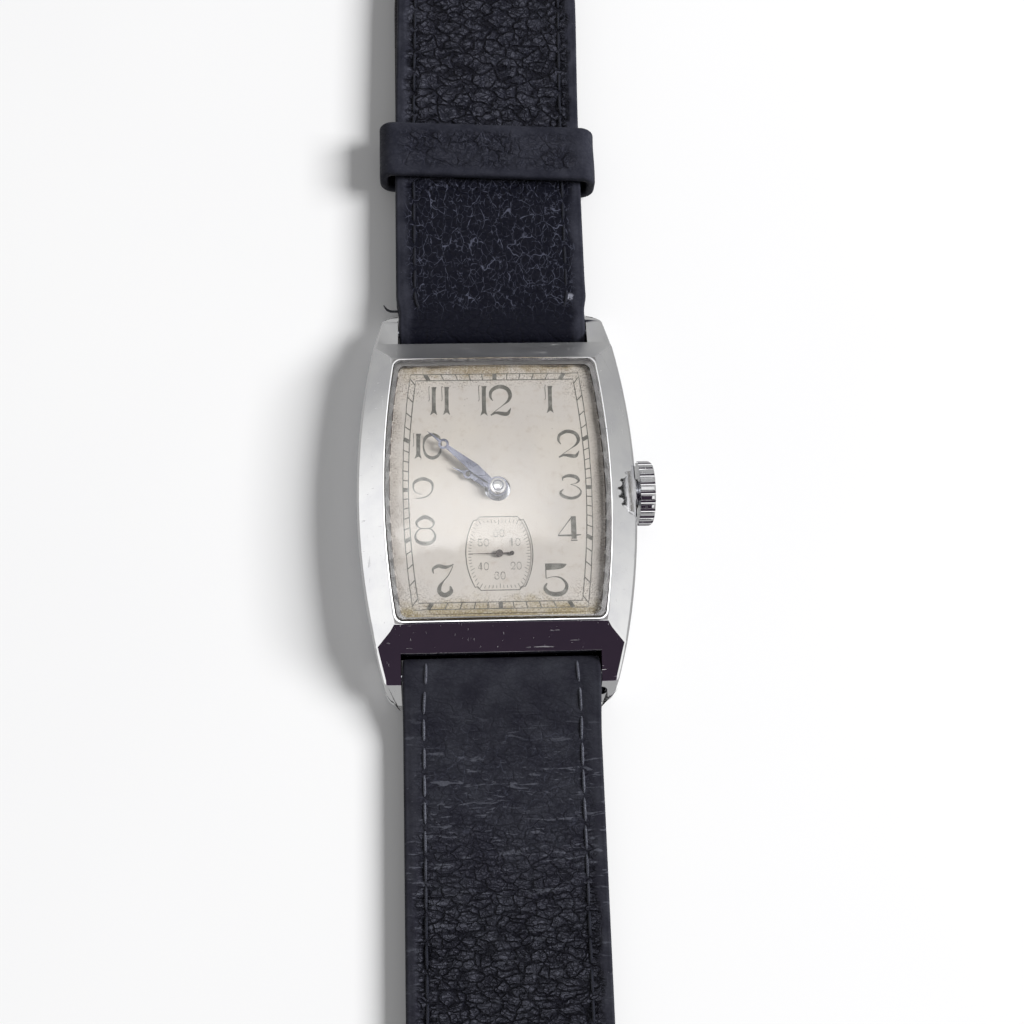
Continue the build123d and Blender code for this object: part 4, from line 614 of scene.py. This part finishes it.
def to_hole(reach):
    """Gives a move that brings points within a hole's radius times reach onto its rim."""
    def snap(point):
        x, y, z = point
        for hole in HOLES_Y:
            away = math.hypot(x, abs(y) - hole)
            if away < HOLE_RADIUS * reach:
                scale = HOLE_RADIUS / max(away, 0.01)
                return x * scale, math.copysign(hole + (abs(y) - hole) * scale, y), z
        return point
    return snap


def make_strap(name, way, lift, end_y, buckle, body, replaced, step=0.24):
    path = strap_path(lift, end_y, buckle, step)
    columns = edge_columns(STRAP_HALF, step)
    tip = None if buckle else end_y

    def place(k, j, side):
        y, z, out_y, out_z, half, on_top = path[k]
        wide = strap_half_at(y, tip)
        x = columns[j] * wide / STRAP_HALF
        reach = half * edge_share(wide - abs(x), 0.4)
        if tip and on_top:
            reach *= edge_share(tip - y + 0.02, 0.4)
        paint = (0.06, 0.0, 0.0)
        if side > 0 and on_top:
            rise, paint = strap_relief(x, y, wide, way)
            reach += rise * (smooth_step(0.0, 1.5, end_y - y) if buckle else 1.0)
        x += sideways_bend(y) if buckle else 0.0
        return (way * x, way * (y + out_y * side * reach), z + out_z * side * reach), paint

    def bare(k, j):
        y = (path[k][0] + path[min(k + 1, len(path) - 1)][0]) / 2
        x = (columns[j] + columns[j + 1]) / 2 * strap_half_at(y, tip) / STRAP_HALF
        return (abs(x) < SLOT_HALF and y > end_y - SLOT_LENGTH / 2) if buckle else in_hole(x, y)

    coat = LEATHER_COAT if buckle else LOWER_COAT
    snap = None if buckle else to_hole(1.4)
    return band(name, path, columns, place, coat, body, "strap_leather", replaced, False, bare, snap)


make_strap("upper_leather", 1, UPPER_LIFT, UPPER_END_Y, True, "upper_strap", ["upper_strap"])
make_strap("lower_leather", -1, 0.0, LOWER_END_Y, False, "lower_strap", ["lower_strap"])


def make_lining(name, way, lift, stop_y, body, replaced):
    """Lining with the thin filler that reaches over the folded flap."""
    start_y = FLAP_END_Y + 0.02
    flap_top, high = lift + LEATHER + 0.02, lift + LEATHER + 0.48
    over_flap = [(y, flap_top) for y in steps_between(SLOPE_END_Y, start_y, 0.5)]
    beyond = [(y, lift) for y in steps_between(start_y, stop_y, 0.6) + [stop_y]]
    path = [(y, (low + high) / 2, (high - low) / 2) for y, low in over_flap + beyond]
    half_wide = STRAP_HALF - 0.05
    columns = edge_columns(half_wide, 0.5)
    tip = None if way > 0 else LOWER_END_Y

    def place(k, j, side):
        y, middle, half = path[k]
        wide = strap_half_at(y, tip) - 0.05
        x = columns[j] * wide / half_wide
        reach = half * edge_share(wide - abs(x), 0.3)
        if side < 0:
            reach += 0.02 * wave(x * 0.5, y * 0.5, 4.0) - 0.02
        return (x, way * y, middle + side * reach), (0.6, 0.0, 0.0)

    def bare(k, j):
        y = (path[k][0] + path[min(k + 1, len(path) - 1)][0]) / 2
        return in_hole((columns[j] + columns[j + 1]) / 2, y)

    holed = (bare, to_hole(1.7)) if way < 0 else (None, None)
    return band(name, path, columns, place, LINING_COAT, body, "lining_leather", replaced, False, *holed)


make_lining("upper_lining", 1, UPPER_LIFT, BUCKLE_FLAP_Y - 0.02, "upper_strap", ["upper_strap_lining"])
make_lining("lower_lining", -1, 0.0, LOWER_END_Y - 0.1, "lower_strap", ["lower_strap_lining"])


def make_keeper(name, middle_y, body, replaced, lean=0.0):
    """Leather loop with a grained middle and smooth bands at its bends and edges."""
    half_wide, half_high = KEEPER_HALF_WIDE - SKIN_HALF, KEEPER_MIDDLE_Z - SKIN_HALF
    step = 0.24
    path = []
    for nx, nz in ((0, 1), (1, 0), (0, -1), (-1, 0)):
        out, reach = (half_high, half_wide) if nz else (half_wide, half_high)
        reach -= KEEPER_CORNER
        for along in steps_between(-reach, reach, step if nz > 0 else 0.5):
            path.append((nx * out + nz * along, nz * out - nx * along, nx, nz))
        for turn in range(8):
            angle = math.atan2(nz, nx) - math.radians(90 * turn / 8)
            out_x, out_z = math.cos(angle), math.sin(angle)
            x = nx * out + nz * reach + (out_x - nx) * KEEPER_CORNER
            z = nz * out - nx * reach + (out_z - nz) * KEEPER_CORNER
            path.append((x, z, out_x, out_z))
    columns = edge_columns(KEEPER_HALF_LONG, step)

    def place(k, j, side):
        x, z, out_x, out_z = path[k]
        y = columns[j]
        edge = KEEPER_HALF_LONG - abs(y)
        reach = SKIN_HALF * edge_share(edge, 0.38)
        paint = (0.06, 0.0, 0.0)
        if side > 0:
            inside = smooth_step(0.5, 1.5, edge) * smooth_step(9.6, 7.6, abs(x))
            spread = 0.5 + 0.5 * smooth_step(-0.3, 0.2, wave(x * 0.35, y * 0.5, middle_y))
            paint = (max(0.06, 0.6 * inside * spread), 0.5 * inside * spread, 0.0)
            reach += inside * spread * 0.16 * (pebble(x + 11, y + middle_y, 0.75, 1.3) - 0.8)
            reach += 0.06 * wave(x * 0.3, y * 0.4, middle_y)
        height = KEEPER_MIDDLE_Z + z + out_z * side * reach
        return (x + out_x * side * reach, middle_y - y - lean * x, height), paint

    return band(name, path, columns, place, LEATHER_COAT, body, "strap_leather", replaced, True)


make_keeper("sliding_keeper", 36.1, "loose_keeper", ["loose_keeper"], 0.04)
make_keeper("sewn_keeper", 78.95, "upper_strap", ["fixed_keeper"])


# Stitching
def add_tube(points, faces, line, radii, sides=6):
    """Adds a closed tube along line to lists of points and faces."""
    first = len(points)
    for i, here in enumerate(line):
        forward = (Vector(line[min(i + 1, len(line) - 1)]) - Vector(line[max(i - 1, 0)])).normalized()
        side = forward.cross(Vector((0, 0, 1)))
        side = side.normalized() if side.length > 1e-6 else Vector((1, 0, 0))
        up = side.cross(forward)
        for s in range(sides):
            angle = 2 * math.pi * s / sides
            spot = Vector(here) + radii[i] * (math.cos(angle) * side + math.sin(angle) * up)
            points.append(tuple(spot))
    for i in range(len(line) - 1):
        for s in range(sides):
            a, b = first + i * sides + s, first + i * sides + (s + 1) % sides
            faces.append((a, b, b + sides, a + sides))
    faces.append(tuple(first + s for s in reversed(range(sides))))
    faces.append(tuple(first + (len(line) - 1) * sides + s for s in range(sides)))


def make_stitching(name, way, lift, start_y, end_y, body, tip=None):
    points, faces = [], []
    top_z = lift + TOP_MIDDLE + SKIN_HALF
    loop_outer = LOOP_MIDDLE + SKIN_HALF
    radii = [0.1, 0.12, 0.13, 0.13, 0.13, 0.12, 0.1]
    for sign in (-1, 1):
        for i in range(int((end_y - start_y) / STITCH_PITCH)):
            begin = start_y + i * STITCH_PITCH + draw.uniform(-0.08, 0.08)
            lean = draw.uniform(-0.05, 0.05)
            line = []
            for step in range(len(radii)):
                share = step / (len(radii) - 1)
                y = begin + STITCH_LENGTH * share
                inset = STITCH_INSET + 0.3 * (1 - smooth_step(16.0, 21.0, y))
                x = sign * (strap_half_at(y, tip) - inset) + lean * (share - 0.5)
                x += 0.0 if tip else sideways_bend(y)
                drop = (BAR_Z + loop_outer - top_z) * (1 - smooth_step(BAR_Y, SLOPE_END_Y, y))
                if y < BAR_Y:
                    drop = BAR_Z + math.sqrt(loop_outer ** 2 - (BAR_Y - y) ** 2) - top_z
                z = top_z + drop - 0.17 + 0.21 * math.sin(math.pi * share) ** 0.3
                line.append((way * x, way * y, z))
            add_tube(points, faces, line, radii)
    return finish_piece(mesh_from(name, points, faces), name, THREAD, body)


make_stitching("upper_stitching", 1, UPPER_LIFT, 19.0, 82.0, "upper_strap")
make_stitching("lower_stitching", -1, 0.0, 15.95, 112.0, "lower_strap", LOWER_END_Y)


# Dial print
def tonneau_half(shape, y):
    """Half the width at y of a bowed outline of a width, an end width and a length."""
    width, end_width, length = shape
    drop = (width - end_width) / 2
    radius = ((length / 2) ** 2 + drop ** 2) / (2 * drop)
    return width / 2 - radius + math.sqrt(radius ** 2 - y ** 2)


def tonneau_reach(shape, dx, dy):
    """Distance from the middle of a bowed outline to its line in one direction."""
    low, high = 0.0, shape[2]
    for _ in range(40):
        middle = (low + high) / 2
        x, y = dx * middle, dy * middle
        within = abs(y) < shape[2] / 2 and abs(x) < tonneau_half(shape, y)
        low, high = (middle, high) if within else (low, middle)
    return low


class Print:
    """Ink strokes and shapes gathered into one thin mesh."""

    def __init__(self, z):
        self.points, self.faces, self.z, self.count = [], [], z, 0

    def next_top(self):
        """Top of the next shape; shapes that cross each other never share a plane."""
        self.count += 1
        return self.z + INK_HEIGHT + 0.0004 * (self.count % 12)

    def add_rings(self, *rings):
        """Adds points ring by ring and gives the first one's number."""
        first = len(self.points)
        for ring, z in rings:
            self.points += [(x, y, z) for x, y in ring]
        return first

    def shape(self, outline):
        """Filled flat shape with a counterclockwise outline."""
        count = len(outline)
        first = self.add_rings((outline, self.next_top()), (outline, self.z))
        self.faces.append(range(first, first + count))
        for i in range(count):
            a, b = first + i, first + (i + 1) % count
            self.faces.append((b, a, a + count, b + count))

    def line(self, points, closed=False):
        """Line through (x, y, half width) points, as a strip of quads."""
        count = len(points)
        left, right = [], []
        for i, (x, y, half) in enumerate(points):
            x0, y0, _ = points[i - 1 if closed else max(i - 1, 0)]
            x1, y1, _ = points[(i + 1) % count if closed else min(i + 1, count - 1)]
            length = math.hypot(x1 - x0, y1 - y0) or 1.0
            half = max(half, THINNEST_LINE)
            dx, dy = -(y1 - y0) / length * half, (x1 - x0) / length * half
            left.append((x + dx, y + dy))
            right.append((x - dx, y - dy))
        top = self.next_top()
        first = self.add_rings((left, top), (right, top), (left, self.z), (right, self.z))
        corners = [[first + ring * count + i for ring in range(4)] for i in range(count)]
        following = corners[1:] + corners[:1] if closed else corners[1:]
        for (a, b, c, d), (a1, b1, c1, d1) in zip(corners, following):
            self.faces += [(a, b, b1, a1), (a1, c1, c, a), (b, d, d1, b1)]
        if not closed:
            a, b, c, d = corners[0]
            self.faces.append((a, c, d, b))
            a, b, c, d = corners[-1]
            self.faces.append((b, d, c, a))

    def piece(self, name):
        made = mesh_from(name, self.points, self.faces)
        cleaned = bmesh.new()
        cleaned.from_mesh(made)
        bmesh.ops.recalc_face_normals(cleaned, faces=cleaned.faces)
        cleaned.to_mesh(made)
        cleaned.free()
        return finish_piece(made, name, INK, "case", smooth=False)


def tonneau_line(shape, half, centre_y=0.0, cut=0.0, steps=24):
    """Bowed outline as line points, counterclockwise, with its corners cut off by a small step."""
    reach = shape[2] / 2
    right = []
    for i in range(steps + 1):
        y = -reach + shape[2] * i / steps
        right.append((tonneau_half(shape, y), y + centre_y))
    if cut:
        for i, way in ((0, 1), (-1, -1)):
            right[i] = (right[i][0] - cut * 0.25, right[i][1] + way * cut)
        inner = shape[1] / 2 - cut
        right = [(inner, -reach + centre_y)] + right + [(inner, reach + centre_y)]
    left = [(-x, y) for x, y in reversed(right)]
    return [(x, y, half) for x, y in right + left]


# Digit strokes inside a box from -1 to 1: x, y and half width as a share of the box's half height
DIGITS = {
    "0": [[(0, .95, .1), (.7, .68, .09), (.96, 0, .045), (.7, -.68, .08), (0, -.95, .1),
           (-.7, -.68, .08), (-.96, 0, .045), (-.7, .68, .09), (0, .95, .1)]],
    "2": [[(-.72, .0, .015), (-.95, .3, .06), (-.8, .7, .08), (-.1, .95, .1), (.65, .8, .1),
           (.95, .38, .09), (.75, .0, .06), (.2, -.32, .02), (-.5, -.68, .015), (-.95, -.96, .035)],
          [(-.95, -.95, .04), (-.45, -.8, .06), (.15, -.86, .1), (.65, -.86, .09), (.97, -.5, .015)]],
    "3": [[(-.72, .5, .02), (-.68, .78, .06), (-.1, .93, .1), (.55, .8, .11), (.8, .5, .07),
           (.5, .28, .025), (.0, .2, .015)],
          [(.0, .2, .015), (.6, -.0, .025), (.98, -.38, .045), (.7, -.78, .08), (0, -.95, .09),
           (-.75, -.76, .1), (-.98, -.45, .07), (-.68, -.2, .02)]],
    "4": [[(.4, .96, .15), (.4, -.85, .15)], [(.12, -.96, .035), (.68, -.96, .035)],
          [(-1, -.56, .045), (.3, -.56, .055), (1.0, -.52, .03)], [(.3, .95, .03), (-.95, -.5, .02)]],
    "5": [[(-.9, .83, .16), (.45, .86, .13), (1.0, .97, .02)], [(-.86, .68, .02), (-.86, .12, .018)],
          [(-.86, .1, .018), (-.2, .2, .02), (.5, .1, .04), (.95, -.32, .07), (.7, -.76, .1),
           (.0, -.9, .11), (-.7, -.78, .1), (-1.0, -.48, .07), (-.8, -.2, .03)]],
    "7": [[(-.92, .42, .02), (-.95, .7, .055), (-.45, .88, .08), (.1, .8, .085), (.6, .85, .05),
           (.97, .97, .02)],
          [(.9, .85, .02), (.5, .33, .02), (.0, -.05, .03), (-.35, -.38, .08), (-.38, -.7, .1),
           (.1, -.9, .11), (.68, -.7, .1), (.62, -.35, .03)]],
    "8": [[(0, .12, .02), (-.5, .16, .025), (-.8, .35, .04), (-.75, .65, .07), (0, .92, .1),
           (.75, .65, .07), (.8, .35, .04), (.5, .16, .025), (0, .12, .02)],
          [(0, .12, .015), (-.6, .06, .03), (-.97, -.38, .05), (-.7, -.78, .08), (0, -.92, .1),
           (.7, -.78, .08), (.97, -.38, .05), (.6, .06, .03), (0, .12, .015)]],
    "9": [[(-.1, -.5, .015), (-.75, -.3, .025), (-.97, .15, .05), (-.8, .62, .09), (0, .9, .12),
           (.8, .62, .09), (.97, .12, .06), (.75, -.42, .035), (.15, -.78, .04), (-.65, -.86, .03)]],
}
DIGITS["6"] = [[(-x, -y, half) for x, y, half in stroke] for stroke in DIGITS["9"]]
# The 1 has a flared foot, a flat head and a thin shade line beside it
ONE_STEM = [(-.3, 1.0), (.95, 1.0), (.72, .8), (.66, -.62), (1.0, -1.0), (.2, -.82), (-.75, -1.0),
            (-.28, -.62), (-.24, .8)]
ONE_SHADE = [(-.7, 1.0, .02), (-.95, .97, .02), (-.9, .1, .018), (-1.2, .02, .018)]


def draw_number(ink, text, centre, boxes, height, weight):
    """Digits side by side, each in a box with an offset and a width."""
    for digit, (offset, width) in zip(text, boxes):
        def placed(x, y):
            return centre[0] + offset + x * width / 2, centre[1] + y * height / 2

        if digit == "1":
            ink.shape([placed(x, y) for x, y in ONE_STEM][::-1])
            ink.line(catmull([(*placed(x, y), half * height / 2) for x, y, half in ONE_SHADE], 3))
            continue
        for stroke in DIGITS[digit]:
            line = [(*placed(x, y), half * height / 2 * weight) for x, y, half in stroke]
            ink.line(catmull(line, 7) if len(line) > 2 else line)


def draw_ticks(ink, inner, outer, centre_y, half, fifth_half, shorter):
    """Sixty ticks between two bowed outlines, all but each fifth shorter by a share."""
    for tick in range(60):
        angle = math.radians(tick * 6)
        dx, dy = math.sin(angle), math.cos(angle)
        start, stop = tonneau_reach(inner, dx, dy), tonneau_reach(outer, dx, dy)
        if tick % 5:
            start += (stop - start) * shorter
        width = half if tick % 5 else fifth_half
        ink.line([(dx * away, centre_y + dy * away, width) for away in (start, stop)])


numerals = Print(DIAL_Z)
for text, centre, boxes, height in (
    ("12", (-0.16, 8.67), ((-0.98, 0.80), (0.66, 1.98)), 3.0),
    ("11", (-5.31, 8.72), ((-0.55, 0.76), (0.66, 0.76)), 2.82),
    ("1", (5.12, 8.74), ((0.0, 0.76),), 2.73),
    ("10", (-6.49, 4.25), ((-0.88, 0.76), (0.50, 1.72)), 2.47),
    ("2", (6.78, 4.25), ((0.0, 1.98),), 2.68),
    ("3", (6.80, 0.06), ((0.0, 1.96),), 2.34),
    ("4", (6.50, -3.95), ((0.0, 2.14),), 2.40),
    ("5", (5.09, -8.82), ((0.0, 2.05),), 3.01),
    ("7", (-5.16, -8.67), ((0.0, 1.95),), 3.09),
    ("8", (-6.76, -3.91), ((0.0, 1.88),), 2.77),
    ("9", (-6.91, 0.09), ((0.0, 1.85),), 2.14),
):
    draw_number(numerals, text, centre, boxes, height, 1.3)
numerals.piece("dial_numerals")

TRACK_IN = (16.5, 14.9, 21.55)
TRACK_OUT = (17.56, 15.9, 22.8)
track = Print(DIAL_Z)
track.line(tonneau_line(TRACK_IN, 0.045), True)
track.line(tonneau_line(TRACK_OUT, 0.04), True)
draw_ticks(track, TRACK_IN, TRACK_OUT, 0.0, 0.05, 0.19, 0.0)
track.piece("dial_track")

SUB_SHAPE = (6.15, 4.25, 6.95)
SUB_INNER = (5.7, 3.9, 6.45)
SUB_TICKS = (4.9, 3.3, 5.6)
seconds_frame = Print(DIAL_Z)
seconds_frame.line(tonneau_line(SUB_SHAPE, 0.04, SECONDS_Y + 0.05, 0.35), True)
seconds_frame.piece("seconds_frame")
seconds_print = Print(SUB_Z)
draw_ticks(seconds_print, SUB_TICKS, SUB_INNER, SECONDS_Y, 0.022, 0.022, 0.35)
for text, x, y in (
    ("60", 0.0, 1.95), ("10", 1.45, 1.1), ("20", 1.5, -1.15),
    ("30", 0.0, -2.05), ("40", -1.5, -1.15), ("50", -1.45, 1.1),
):
    boxes = ((-0.28, 0.16 if text[0] == "1" else 0.4), (0.28, 0.42))
    draw_number(seconds_print, text, (x, SECONDS_Y + y), boxes, 0.72, 0.75)
seconds_print.piece("seconds_print")


# Case with softened edges, in place of the sharp solid
def above_tube(place):
    """Whether a place lies on the flank's top edge beside the crown tube."""
    x, y, z = place / MM
    return x > 12.5 and abs(y) < 3.0 and 4.5 < z < 4.7


def roughness_and_shade(face):
    """How rough and how shaded a face of the case is: the crystal's ledge and the wall round it take painted
    shade, and the upper end facet is only made rougher.
    """
    x, y, z = face.calc_center_median() / MM
    nx, ny, nz = face.normal
    upper_facet = y > 13.0 and z > 3.6 and 0.2 < ny < 0.95 and nz > 0.3
    if upper_facet:
        return 0.3
    under_crystal = abs(x) <= 10.6 and abs(y) <= 12.7 and 5.2 < z < 6.35
    if under_crystal and nz > 0.98:
        return 0.65
    inward_wall = abs(nz) < 0.1 and nx * x + ny * y < 0
    return 1.0 if under_crystal and inward_wall else 0.0


def edge_softness(middle, angle):
    """Share of the widest edge rounding that an edge of the case takes."""
    x, y, z = (abs(value) for value in middle / MM)
    if angle < math.radians(20) or z < 1.3:
        return 0.0
    if z > 6.1:
        return 0.25
    inside_case = y < 13.4 and x < 11.4
    at_bar_hole = math.hypot(y - BAR_Y, z - BAR_Z) < 0.55 and x < 9.9
    at_notch = math.dist((x, y, z), (9.15, 18.52, 2.22)) < 0.75
    at_tube = math.hypot(y, z - 3.3) < 1.25 and middle.x > 0
    inner_lug = x < 9.6 and y > 15.3
    if inside_case or at_bar_hole or at_notch or at_tube or inner_lug:
        return 0.0
    if above_tube(middle):
        return 0.3 + 0.7 * smooth_step(0.5, 1.6, y)
    lug_end, beside_strap, top_edge = y > 18.9, x < 9.3, z > 4.65
    return 0.3 if lug_end else 0.15 if beside_strap else 0.45 if top_edge else 1.0


def work_on(node):
    """Copy of a CAD node's mesh with its doubled points merged."""
    work = bmesh.new()
    work.from_mesh(nodes[node].data)
    bmesh.ops.remove_doubles(work, verts=work.verts, dist=0.002 * MM)
    return work


def replace_node(work, name, material, node, sharp_angle):
    """Turns edited CAD geometry into the piece that is seen in its place."""
    made = bpy.data.meshes.new(name)
    work.to_mesh(made)
    work.free()
    piece = finish_piece(made, name, material, "case", [node])
    made.set_sharp_from_angle(angle=math.radians(sharp_angle))
    return piece


def make_soft_case():
    work = work_on("case_top")
    bmesh.ops.dissolve_limit(work, angle_limit=math.radians(1.2), verts=work.verts, edges=work.edges)
    long_edges = [edge for edge in work.edges if above_tube((edge.verts[0].co + edge.verts[1].co) / 2)]
    bmesh.ops.subdivide_edges(work, edges=long_edges, cuts=11)
    # The crystal's ledge and the wall round it get painted shade through this value; the upper end facet is
    # only made rougher.
    dull_and_shaded = work.faces.layers.float.new("dull_and_shaded")
    for face in work.faces:
        face[dull_and_shaded] = roughness_and_shade(face)
    layer = work.edges.layers.float.new("bevel_weight_edge")
    for edge in work.edges:
        if len(edge.link_faces) == 2:
            middle = (edge.verts[0].co + edge.verts[1].co) / 2
            edge[layer] = edge_softness(middle, edge.calc_face_angle_signed())
    piece = replace_node(work, "case_body", STEEL, "case_top", 20)
    bevel = piece.modifiers.new("edge", "BEVEL")
    bevel.width = WIDEST_ROUNDING * MM
    bevel.segments = 4
    bevel.limit_method = "WEIGHT"
    bevel.use_clamp_overlap = False
    normals = piece.modifiers.new("normals", "WEIGHTED_NORMAL")
    normals.keep_sharp = True
    normals.weight = 80


def make_clear_crystal():
    """The crystal, a hair smaller than its seat so that light passes it cleanly."""
    work = work_on("crystal")
    seat = min(vertex.co.z for vertex in work.verts)
    for vertex in work.verts:
        if vertex.co.z < seat + 0.01 * MM:
            vertex.co.z = seat + 0.03 * MM
        vertex.co.x *= 0.997
        vertex.co.y *= 0.997
    piece = replace_node(work, "crystal_glass", GLASS, "crystal", 30)
    piece.modifiers.new("normals", "WEIGHTED_NORMAL").keep_sharp = True


make_soft_case()
make_clear_crystal()


# Small pieces
def make_hub_cap(sides=48):
    """Polished cap over the hub of the minute hand."""
    profile = [(0.75, 6.3), (0.77, 6.42), (0.73, 6.5), (0.62, 6.55), (0.5, 6.53), (0.36, 6.58), (0.2, 6.61)]
    top_z = 6.62
    turns = [2 * math.pi * s / sides for s in range(sides)]
    points = [(radius * math.cos(a), radius * math.sin(a), z) for radius, z in profile for a in turns]
    top, foot = len(points), len(points) + 1
    points += [(0, 0, top_z), (0, 0, profile[0][1])]
    last = (len(profile) - 1) * sides
    faces = []
    for s in range(sides):
        n = (s + 1) % sides
        for ring in range(0, last, sides):
            faces.append((ring + s, ring + n, ring + sides + n, ring + sides + s))
        faces += [(last + s, last + n, top), (n, s, foot)]
    finish_piece(mesh_from("hub_cap", points, faces), "hub_cap", STEEL, "minute_hand")


def make_thread_end():
    """Loose thread end beside the upper left lug."""
    points, faces = [], []
    line = catmull([(-10.6, 20.6, 1.1), (-10.3, 20.15, 1.1), (-9.85, 19.9, 1.2), (-9.1, 19.75, 1.5)], 5)
    add_tube(points, faces, line, [0.04 + 0.09 * min(1, i / 6) for i in range(len(line))])
    mesh = mesh_from("thread_end", points, faces)
    finish_piece(mesh, "thread_end", THREAD, "upper_strap")


make_hub_cap()
make_thread_end()


# Floor, world, lamp and camera
def make_floor():
    """Pale floor that glows a little to the camera; mirrors show it grey, with a painted black shadow under
    the watch at the strap slots.
    """
    made = Finish("studio_floor", Roughness=0.9, Specular_IOR_Level=0.0, Emission_Color=(1, 1, 1, 1))
    pale = made.mix(made.noise(0.02, 2.0), (0.86, 0.86, 0.87, 1), (0.9, 0.9, 0.9, 1))
    mirrored = made.ray("Is Glossy Ray")
    seen = made.ray("Is Camera Ray") | made.ray("Is Transmission Ray")
    along = abs(made.axis("Y"))
    beside = made.span(abs(made.axis("X")), 9.3, 10.0)
    # Painted shadow: mirrors see the floor black between the lugs, under the watch.
    clear_of_painted_shadow = beside | made.span(along, 18.5, 20.5) | made.span(along, 14.8, 14.0)
    glow = seen * 0.06 | mirrored * clear_of_painted_shadow * 0.45
    made.feed(made.shader.inputs["Emission Strength"], glow)
    made.clear_where(made.node("NewGeometry", "Backfacing"))
    made.dressed(made.mix(mirrored, pale, (0, 0, 0, 1)))
    size, low = 3000.0, -0.03
    corners = [(-size, -size, low), (size, -size, low), (size, size, low), (-size, size, low)]
    plane = mesh_from("floor", corners, [(0, 1, 2, 3)])
    plane.materials.append(made.material)
    floor = add_thing("floor", plane)


def make_world():
    """White to the camera; a soft sky for light; for glossy rays a studio with one dark side."""
    world = bpy.data.worlds.new("studio")
    bpy.context.scene.world = world
    made = Tree(world)
    place = made.node("TexCoord", "Generated")
    east, north, height = (made.node("SeparateXYZ", axis, {0: place}) for axis in "XYZ")
    ragged = north + (made.node("TexNoise", "Fac", {"Vector": place, "Scale": 14.0}) - 0.5) * 0.08
    west_sky = made.span(north, 0.26, 0.5, 1.14, 0.47)
    east_sky = made.span(north, -0.05, 0.5, 1.02, 0.47)
    sky = west_sky + made.span(east, -0.3, 0.3) * (east_sky - west_sky)
    window = made.span(ragged, 0.15, 0.185) * made.span(north, 0.42, 0.24)
    window = window * made.span(abs(east + 0.03), 0.3, 0.06) * made.span(height, 0.3, 0.6)
    dark = made.span(north, -0.11, -0.19) * made.span(abs(east), 0.4, 0.3) * made.span(height, -0.02, 0.04)
    glossy = (sky + window * 2.6) * (1.0 - dark * 0.965)
    soft = 0.24
    mirrored = made.math("GREATER_THAN", made.ray("Glossy Depth"), 0.5)
    level = mirrored * (glossy - soft) + soft
    direct = made.math("LESS_THAN", made.ray("Diffuse Depth"), 0.5) * (1.0 - mirrored)
    seen = made.ray("Is Camera Ray") | made.ray("Is Transmission Ray") * direct
    back = made.nodes["Background"].inputs
    made.feed(back["Strength"], level + seen * (1.0 - level))
    made.feed(back["Color"], made.mix(dark * mirrored, (1, 1, 1, 1), (1.0, 0.7, 1.12, 1)))


def make_lamp(name, direction, distance, size, radiance):
    """Soft square lamp that mirrors don't show; the crystal's shadow path lets its light through."""
    lamp = bpy.data.lights.new(name, "AREA")
    lamp.shape = "SQUARE"
    lamp.size = size * MM
    lamp.energy = radiance * math.pi * lamp.size ** 2
    thing = add_thing(name, lamp)
    away = Vector(direction).normalized()
    thing.location = away * distance * MM
    thing.rotation_euler = away.to_track_quat("Z", "Y").to_euler()
    thing.visible_glossy = False
    thing.visible_transmission = False


def make_camera():
    camera = bpy.data.cameras.new("camera")
    camera.sensor_width = SENSOR
    camera.lens = FOCAL_PX / PICTURE * SENSOR
    camera.clip_start, camera.clip_end = 0.001, 20.0
    thing = add_thing("camera", camera)
    right = Vector((0.998635, -0.029596, 0.043026))
    up = Vector((0.016192, 0.958778, 0.283693))
    back = Vector((-0.049648, -0.282609, 0.957949))
    turn = Matrix((right, up, back)).transposed().to_4x4()
    thing.matrix_world = Matrix.Translation(Vector((-5.66185, -41.76455, 139.36783)) * MM) @ turn
    bpy.context.scene.camera = thing


make_floor()
make_world()
make_lamp("key", (0.8, 0.05, 0.6), 2000, 860, 24.0)
make_camera()
bpy.context.scene.view_settings.view_transform = "Standard"
